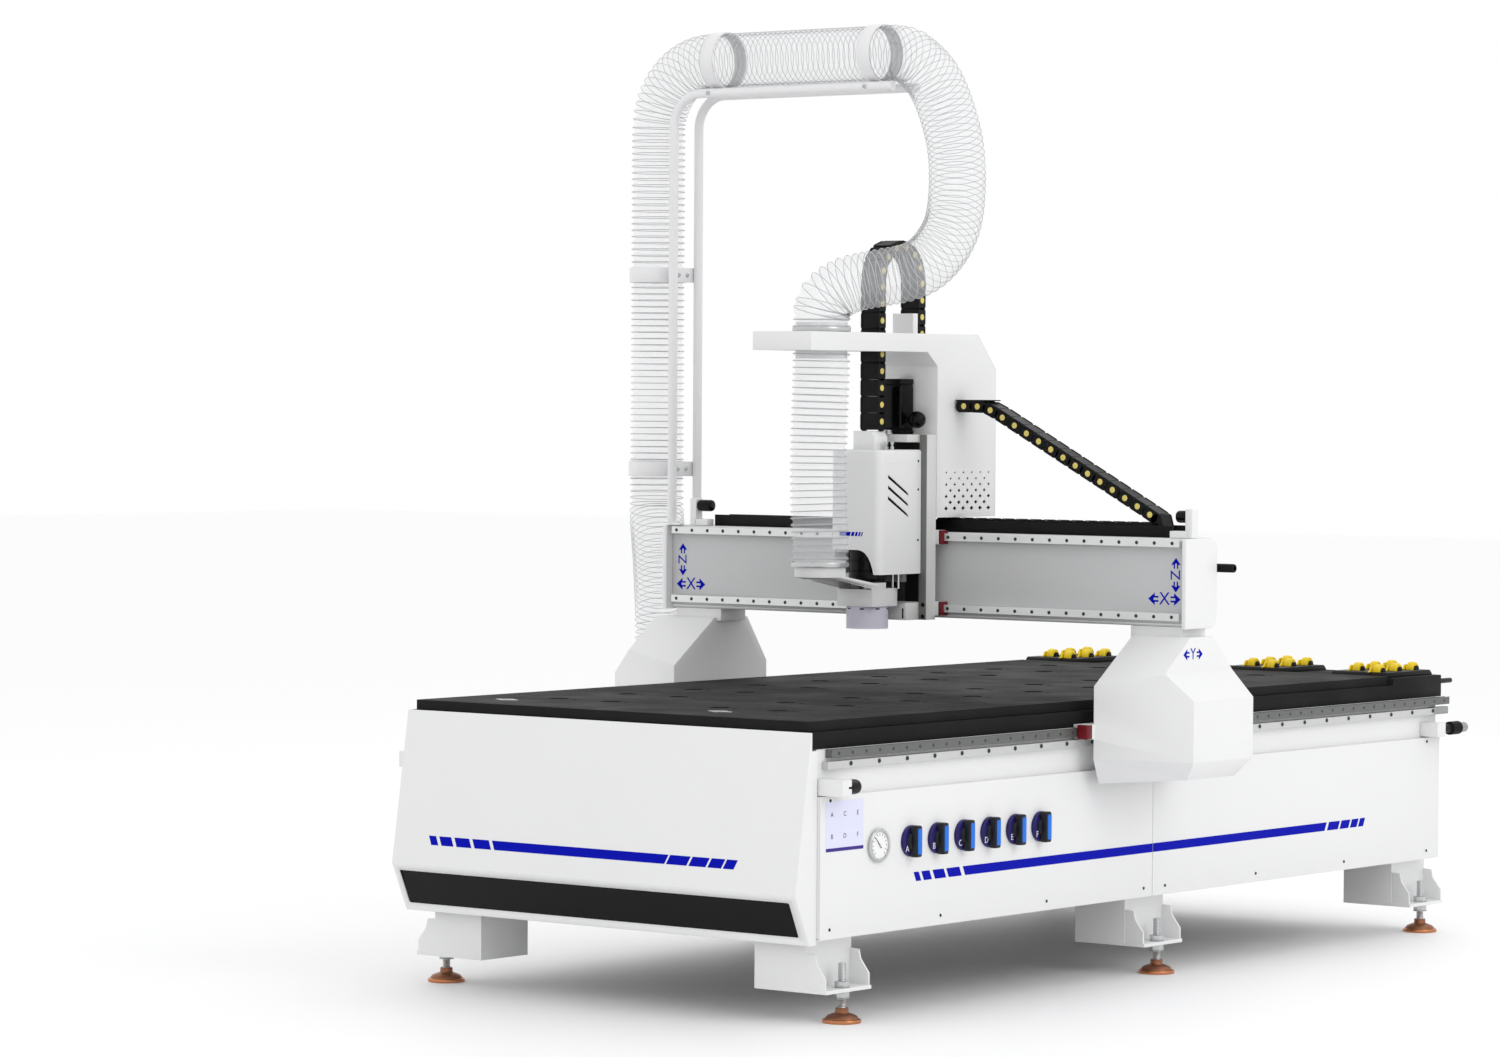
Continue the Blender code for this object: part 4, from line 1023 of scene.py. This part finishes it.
# cable chains
def chainLink(width, thick, pitch, discs=True):
    half = width / 2
    core = block((-half + 0.006, half - 0.006), (-thick / 2 + 0.0015, thick / 2 - 0.0015),
                 (-pitch * 0.505, pitch * 0.505), "blackPlastic", 0.0012, 1)
    parts = [core]
    outline = []
    for k in range(9):
        turn = -math.pi / 2 + k * math.pi / 8
        outline.append((thick / 2 * math.sin(turn), pitch * 0.36 + thick * 0.32 * math.cos(turn)))
    outline += [(-a, -b) for a, b in outline]
    for way in (-1, 1):
        cheek = prism(outline, 0, way * (half - 0.0062), way * (half - 0.0012), "blackPlastic", 0.0009, 1)
        parts.append(cheek)
        if not discs:
            continue
        disc = spun([(0, half - 0.0013), (0.0088, half - 0.0013), (0.0088, half - 0.0005), (0.0078, half),
                     (0.0030, half - 0.0003), (0, half - 0.0004)], (0, 0, 0), "discCream", 18, 0)
        parts.append(disc if way > 0 else mirrored(disc))
    return joined(parts)


def chain(name, path, side, width, thick, pitch, node, extras=(), bareBelow=0.0):
    link, bare = chainLink(width, thick, pitch), chainLink(width, thick, pitch, False)
    parts = []
    stations = carried(evenly(path, pitch), side)
    for (a, sideA, _, _), (b, _, _, _) in zip(stations, stations[1:]):
        ahead = (b - a).normalized()
        across = (sideA - sideA.dot(ahead) * ahead).normalized()
        up = ahead.cross(across)
        place = Matrix((across, up, ahead)).transposed().to_4x4()
        twin = copied(bare if (a.z + b.z) / 2 < bareBelow else link)
        twin.data.transform(Matrix.Translation((a + b) / 2) @ place)
        parts.append(twin)
    for pattern in (link, bare):
        bpy.data.objects.remove(pattern, do_unlink=True)
    piece = joined(parts + list(extras))
    piece.name = name
    piece.data.transform(Matrix.Translation(toFrame))
    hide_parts(node)
    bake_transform(piece)


def chains():
    y = 1.5015
    points = [(0.100, 1.630), (0.188, 1.630), (0.206, 1.627), (0.224, 1.618), (0.790, 1.320), (0.812, 1.306),
              (0.822, 1.297), (0.820, 1.290), (0.806, 1.2862), (0.780, 1.2858), (0.030, 1.2858)]
    strap = block((0.0935, 0.216), (1.4725, 1.5305), (1.6455, 1.6488), "blackPlastic", 0.0008, 1)
    chain("xChain", [Vector((x, y, z)) for x, z in points], (0, -1, 0), 0.060, 0.036, 0.048, "x_chain",
          [strap], 1.316)
    start, middle, bend = 1.240, 1.999, 0.097
    path = [Vector((-0.033, start, 1.560)), Vector((-0.033, start, middle))]
    for k in range(1, 25):
        turn = math.pi - k * math.pi / 24
        path.append(Vector((-0.033, start + bend + bend * math.cos(turn), middle + bend * math.sin(turn))))
    path.append(Vector((-0.033, start + 2 * bend, 1.622)))
    chain("zChain", path, (1, 0, 0), 0.068, 0.036, 0.048, "z_chain")


# carriage
def column():
    post = fromNode("column", "columnGrey", 0.0015, 2)
    railEnds = (-0.1395, 0.0955)
    parts = [post]
    for x, screwX in ((0.0615, 0.0775), (-0.1305, -0.1215)):
        parts.append(block((x, x + 0.0250), (1.3415, 1.3452), (1.0085, 1.5465), "stripOlive", 0.0010, 2))
        for z in (1.052, 1.018):
            screw = screwHead((0, 0, 0), 2, "blackPlastic", 0.0062, 0.0030)
            screw.data.transform(Matrix.Translation((screwX, 1.3418, z)) @ Matrix.Rotation(math.pi / 2, 4,
                                                                                           "X"))
            parts.append(screw)
    # a thin black sheet as painted shade, for the shaded inside behind the slide
    parts.append(block((-0.1040, 0.0600), (1.3449, 1.3458), (1.0600, 1.5240), "blackPlastic", 0))
    parts.append(block((0.0420, 0.0475), (1.2876, 1.2884), (1.0130, 1.0420), "blackPlastic", 0))
    for z in beam["railRows"]:
        for end, way in zip(railEnds, (-1, 1)):
            parts.append(block((end, end + way * 0.0030), (1.3935, 1.4260), (z - 0.0200, z + 0.0200),
                               "blackPlastic",
                               0.0012, 2))
            parts.append(block((end + way * 0.0030, end + way * 0.0095), (1.3935, 1.4260),
                               (z - 0.0200, z + 0.0200),
                               "sealRed", 0.0016, 2))
    settled("column", parts, "carriage", ["column"])


def carriageCover():
    cover = fromNode("carriage_cover", "whiteSheet", 0.0016, 2)
    cutters = []
    columns, rows = 6, 7
    for row in range(rows):
        high = 0.0040 + 0.0005 * row
        wide = 0.0046 + 0.0009 * row
        z = 1.4357 - 0.01745 * row
        for k in range(columns - row % 2):
            y = 1.4365 + 0.0423 * (k + 0.5 * (row % 2))
            cutters.append(prism([(y - wide, z), (y, z - high), (y + wide, z), (y, z + high)], 0, -0.150,
                                 0.120,
                                 "whiteSheet"))
    cutters.append(prism([(1.5905, 1.860), (1.5905, 1.8401), (1.6831, 1.7375), (1.7200, 1.7375),
                          (1.7200, 1.860)], 0,
                         -0.140, 0.110, "whiteSheet"))
    carved(cover, cutters)
    smoothed(cover, 30)
    slope = prism([(1.5900, 1.8405), (1.6835, 1.7372), (1.6800, 1.7345), (1.5868, 1.8378)], 0, -0.1201,
                  0.0902,
                  "whiteSheet")
    settled("carriageCover", [cover, slope], "carriage", ["carriage_cover"])
    # a black plate behind the small holes, painted shade standing in for the shaded inside of the cover
    settled("coverInsideShade", [block((0.0790, 0.0800), (1.400, 1.674), (1.312, 1.455), "blackPlastic", 0)],
            "carriage")


def zMotor():
    x, half = -0.022, 0.033
    body = block((x - half, x + half), (1.3163, 1.3817), (1.5620, 1.6900), "blackGloss", 0.006, 3)
    parts = [body]
    for low, high in ((1.5476, 1.5600), (1.6920, 1.7088)):
        parts.append(block((x - half, x + half), (1.3163, 1.3817), (low, high), "blackPlastic", 0.004, 2))
    parts.append(block((x - half + 0.002, x + half - 0.002), (1.3183, 1.3797), (1.5590, 1.6930),
                       "blackPlastic", 0.002, 1))
    ball = [(0, -0.025)] + [(0.025 * math.sin(math.pi * k / 16), -0.025 * math.cos(math.pi * k / 16))
                            for k in range(1, 16)] + [(0, 0.025)]
    parts.append(spun(ball, (0.0475, 1.349, 1.590), "blackGloss", 36, 0))
    parts.append(rod((0.008, 1.349, 1.590), (0.030, 1.349, 1.590), 0.010, "blackPlastic", 24))
    for z, radius in ((1.5475, 0.020), (1.5540, 0.0165)):
        parts.append(rod((x, 1.300, z), (x, 1.300, z + 0.0060), radius * 0.7, "zinc", 24))
    settled("zMotor", parts, "carriage", ["z_motor"])


# Z head
def bevelWhere(obj, chosen, width, segments):
    lone(obj)
    bpy.ops.object.mode_set(mode="EDIT")
    bpy.ops.mesh.select_mode(type="EDGE")
    bpy.ops.mesh.select_all(action="DESELECT")
    work = bmesh.from_edit_mesh(obj.data)
    for edge in work.edges:
        edge.select = chosen(edge.verts[0].co, edge.verts[1].co)
    bmesh.update_edit_mesh(obj.data)
    bpy.ops.mesh.bevel(offset=width, segments=segments, affect="EDGES")
    bpy.ops.object.mode_set(mode="OBJECT")
    return obj


def facesWhere(obj, chosen):
    lone(obj)
    bpy.ops.object.mode_set(mode="EDIT")
    bpy.ops.mesh.select_mode(type="FACE")
    bpy.ops.mesh.select_all(action="DESELECT")
    work = bmesh.from_edit_mesh(obj.data)
    for face in work.faces:
        face.select = chosen(face.calc_center_median(), face.normal)
    bmesh.update_edit_mesh(obj.data)


cover = dict(xs=(-0.113, 0.069), ys=(1.140, 1.340), zs=(1.143, 1.503), wall=0.003)


def spindleCover():
    (lowX, highX), (front, back), (_, top) = cover["xs"], cover["ys"], cover["zs"]
    shell = block(cover["xs"], cover["ys"], cover["zs"], "whiteSheet", 0)
    bevelWhere(shell, lambda a, b: a.y < front + 0.001 and b.y < front + 0.001 and abs(a.x - b.x) < 0.001,
               0.024, 8)
    bevelWhere(shell, lambda a, b: a.z > top - 0.001 and b.z > top - 0.001
               and not (a.y > back - 0.001 and b.y > back - 0.001), 0.007, 3)
    facesWhere(shell, lambda c, n: n.z < -0.9 or n.y > 0.9)
    bpy.ops.mesh.delete(type="FACE")
    bpy.ops.object.mode_set(mode="OBJECT")
    applied(shell, "SOLIDIFY", thickness=cover["wall"], offset=-1.0)
    mouth = [(-0.140, 1.0), (0.0475, 1.0), (0.0475, 1.146), (0.0440, 1.160), (0.0370, 1.178), (0.0290, 1.192),
             (0.0190, 1.203), (0.0070, 1.210), (-0.0060, 1.2135), (-0.140, 1.2135)]
    cutters = [prism(mouth, 1, front - 0.1, front + 0.022, "whiteSheet")]
    for k in range(3):
        z = 1.4277 - 0.0309 * k
        cutters.append(prism([(1.1800, z + 0.0045), (1.1800, z - 0.0060), (1.2790, z - 0.0585),
                              (1.2790, z - 0.0525),
                              (1.2690, z - 0.0450)], 0, 0.050, 0.090, "whiteSheet"))
    seam = block((lowX - 0.01, highX + 0.01), (front - 0.01, back + 0.01), (1.4625, 1.4640), "whiteSheet", 0)
    heart = block((lowX + 0.0006, highX - 0.0006), (front + 0.0006, back + 0.02), (1.4600, 1.4660),
                  "whiteSheet", 0)
    bevelWhere(heart, lambda a, b: a.y < front + 0.002 and b.y < front + 0.002 and abs(a.x - b.x) < 0.001,
               0.0234, 8)
    carved(seam, [heart])
    cutters.append(seam)
    carved(shell, cutters)
    smoothed(shell, 30)
    neck = prism([(-0.0715, 1.5025), (0.0055, 1.5025), (0.0055, 1.5400), (-0.0060, 1.5568),
                  (-0.0715, 1.5568)], 1, 1.1975,
                 1.2615, "whiteSheet", 0.002, 2)
    parts = [shell, neck]
    for z in (1.3875, 1.2407, 1.470):
        parts.append(screwHead((highX - 0.0004, 1.3260, z), 0, "darkSteel", 0.0035, 0.0020))
    settled("spindleCover", parts, "z_head", ["spindle_cover"])
    # a black plate behind the vent slots, painted shade standing in for the shaded inside of the cover
    settled("ventInsideShade", [block((highX - 0.0060, highX - 0.0045), (1.172, 1.288), (1.290, 1.440),
                                  "blackPlastic", 0)],
            "z_head")

    def onFront(x, z, lift=0.0):
        return (x, front - lift, z)

    low, high = 1.2535, 1.2655
    marks = [printed(leaning(-0.075, -0.038, low, high, 0, 0.004), onFront, "printBlue")]
    for start, end in ((-0.034, -0.024), (-0.020, -0.012), (-0.008, -0.002), (0.002, 0.006)):
        marks.append(printed(leaning(start, end, low, high, 0.004, 0.004), onFront, "printBlue"))
    settled("coverStripe", marks, "z_head")


def spindleParts():
    x, y = -0.022, 1.205
    outline = [(0, 1.1045), (0.0255, 1.1045), (0.0258, 1.1060), (0.0258, 1.1200), (0.0440, 1.1212),
               (0.0478, 1.1240),
               (0.0545, 1.1300), (0.0549, 1.1330)]
    for k in range(10):
        z = 1.150 + 0.030 * k
        outline += [(0.0549, z), (0.0535, z + 0.0012), (0.0535, z + 0.0030), (0.0549, z + 0.0042)]
    outline += [(0.0549, 1.4790), (0.0500, 1.4875), (0, 1.4875)]
    settled("spindle", [spun(outline, (x, y, 0), "blackGloss", 64)], "z_head", ["spindle"])
    nut = [(0, 1.0640), (0.0150, 1.0640), (0.0180, 1.0680), (0.0189, 1.0720), (0.0189, 1.0925),
           (0.0175, 1.0945),
           (0.0139, 1.0965), (0.0139, 1.1040), (0, 1.1040)]
    nutBody = spun(nut, (x, y, 0), "zinc", 36)
    slots = []
    for k in range(8):
        slot = block((x + 0.0165, x + 0.0200), (y - 0.0022, y + 0.0022), (1.074, 1.091), "zinc", 0)
        slot.data.transform(Matrix.Translation((x, y, 0)) @ Matrix.Rotation(k * math.pi / 4, 4, "Z")
                            @ Matrix.Translation((-x, -y, 0)))
        slots.append(slot)
    carved(nutBody, slots)
    shank = spun([(0, 1.0310), (0.0058, 1.0310), (0.0062, 1.0320), (0.0062, 1.0645), (0, 1.0645)], (x, y, 0),
                 "chrome", 28)
    flutes = bmesh.new()
    rings, corners = 40, 12
    rows = []
    for j in range(rings + 1):
        z = 0.9925 + (1.0315 - 0.9925) * j / rings
        row = []
        for k in range(corners):
            turn = 2 * math.pi * k / corners
            reach = 0.0027 + 0.0012 * abs(math.cos(turn)) ** 1.5
            twist = turn + j * 0.17
            row.append(flutes.verts.new((x + reach * math.cos(twist), y + reach * math.sin(twist), z)))
        rows.append(row)
    for low, high in zip(rows, rows[1:]):
        for k in range(corners):
            n = (k + 1) % corners
            flutes.faces.new((low[k], low[n], high[n], high[k]))
    flutes.faces.new(rows[0][::-1])
    flutes.faces.new(rows[-1])
    bit = smoothed(fromMesh(flutes, "flutes", "chrome"))
    settled("colletTool", [nutBody, shank, bit], "tool", ["collet_tool"])


def zSlide():
    plate = fromNode("z_slide", "stripOlive", 0.0015, 2)
    parts = [plate]
    for x in (-0.077, 0.033):
        parts.append(block((x - 0.023, x + 0.023), (1.2660, 1.2866), (1.0660, 1.1190), "blackPlastic", 0.002,
                           2))
    for x in (0.030, 0.050):
        parts.append(rod((x, 1.2590, 1.1000), (x, 1.2590, 1.2480), 0.0035, "chrome", 16))
    settled("zSlide", parts, "z_head", ["z_slide"])
    fittings = []
    for x, radius in ((0.020, 0.0070), (0.042, 0.0055)):
        fittings.append(spun([(0, 1.5025), (radius, 1.5025), (radius, 1.5120), (radius * 0.6, 1.5130),
                              (radius * 0.6, 1.5180), (radius * 0.9, 1.5190),
                              (radius * 0.9, 1.5260), (0, 1.5265)],
                             (x, 1.235, 0), "zinc", 24))
    settled("coolantFittings", fittings, "z_head")


def dustShoe():
    shoe = fromNode("dust_shoe", "whitePowder", 0.0012, 2, 40)
    carved(shoe, [block((-0.10, 0.05), (1.2100, 1.2700), (1.1020, 1.13), "whitePowder", 0)])
    lid = block((-0.0850, 0.0410), (1.2080, 1.2645), (1.0990, 1.1019), "whitePowder", 0.0005, 1)
    riserWall = block((-0.0850, 0.0410), (1.2070, 1.2099), (1.0990, 1.1185), "whitePowder", 0.0005, 1)
    nose = spun([(0, 1.05), (0.0285, 1.05), (0.0285, 1.15), (0, 1.15)], (-0.022, 1.205, 0), "whitePowder", 40)
    carved(lid, [copied(nose)])
    carved(riserWall, [nose])
    settled("dustShoe", [shoe, lid, riserWall], "z_head", ["dust_shoe"])
    x, y, top = -0.022, 1.205, 1.0496
    wall = [(0.0588, 0.985), (0.0608, 0.985), (0.0608, top - 0.0040), (0.0595, top), (0.0480, top),
            (0.0480, top - 0.003),
            (0.0575, top - 0.0035), (0.0588, top - 0.006)]
    skirt = spun(wall, (x, y, 0), "skirt", 72)
    settled("brushSkirt", [skirt], "z_head", ["brush_skirt"])
    clips = []
    for k in range(8):
        turn = math.radians(22 + 45 * k)
        tab = block((0.0545, 0.0615), (-0.0065, 0.0065), (top - 0.0085, top - 0.0045), "blackPlastic",
                    0.0008, 1)
        tab.data.transform(Matrix.Translation((x, y, 0)) @ Matrix.Rotation(turn, 4, "Z"))
        clips.append(tab)
    settled("skirtTabs", clips, "z_head")


gantryBeam()
xRails()
gantrySides()
chainTray()
xStops()
hoseMast()
hoses()
wormClamp(1.848, "carriage", "hoseClampTop")
wormClamp(1.176, "z_head", "hoseClampShoe")
chains()
print("gantry ready")
column()
carriageCover()
zMotor()
print("carriage ready")
spindleCover()
spindleParts()
zSlide()
dustShoe()
print("head ready")


# floor, light and camera
def studio():
    bpy.ops.mesh.primitive_plane_add(size=80, location=(0, 0, 0))
    floor = bpy.context.object
    floor.name = "studioFloor"
    ground = bpy.data.materials.new("paleFloor")
    ground.use_nodes = True
    shader = ground.node_tree.nodes["Principled BSDF"]
    shader.inputs["Base Color"].default_value = (0.97, 0.97, 0.972, 1)
    shader.inputs["Roughness"].default_value = 0.55
    floor.data.materials.append(ground)
    scene = bpy.context.scene
    world = bpy.data.worlds.new("studioWorld")
    world.use_nodes = True
    world.node_tree.nodes["Background"].inputs["Color"].default_value = (1.0, 1.0, 1.0, 1)
    world.node_tree.nodes["Background"].inputs["Strength"].default_value = 1.0
    scene.world = world
    for place, size, power, aim in (((9.0, -1.0, 6.0), 5.0, 140, (0, 0, 0.9)),
                                    ((0.0, 5.0, 7.5), 6.0, 60, (0, 0, 1.0))):
        bpy.ops.object.light_add(type="AREA", location=place)
        lamp = bpy.context.object
        lamp.data.size = size
        lamp.data.energy = power
        lamp.rotation_euler = (Vector(aim) - Vector(place)).to_track_quat("-Z", "Y").to_euler()
    scene.view_settings.view_transform = "Standard"
    scene.view_settings.exposure = 0.0


viewing = dict(lens=118.78, sensor=36.0, yaw=38.33, pitch=-1.53, roll=0.34,
               place=(8.60419, -10.25626, 1.65524))


def camera():
    yaw, pitch, roll = (math.radians(viewing[key]) for key in ("yaw", "pitch", "roll"))
    ahead = Vector((-math.sin(yaw) * math.cos(pitch), math.cos(yaw) * math.cos(pitch), math.sin(pitch)))
    level = Vector((math.cos(yaw), math.sin(yaw), 0.0))
    above = level.cross(ahead)
    right = math.cos(roll) * level + math.sin(roll) * above
    up = math.cos(roll) * above - math.sin(roll) * level
    turn = Matrix((right, up, -ahead)).transposed().to_4x4()
    bpy.ops.object.camera_add()
    eye = bpy.context.object
    eye.data.lens = viewing["lens"]
    eye.data.sensor_width = viewing["sensor"]
    eye.data.clip_end = 200.0
    eye.matrix_world = Matrix.Translation(Vector(viewing["place"]) + toFrame) @ turn
    bpy.context.scene.camera = eye


studio()
camera()
print("stage ready")
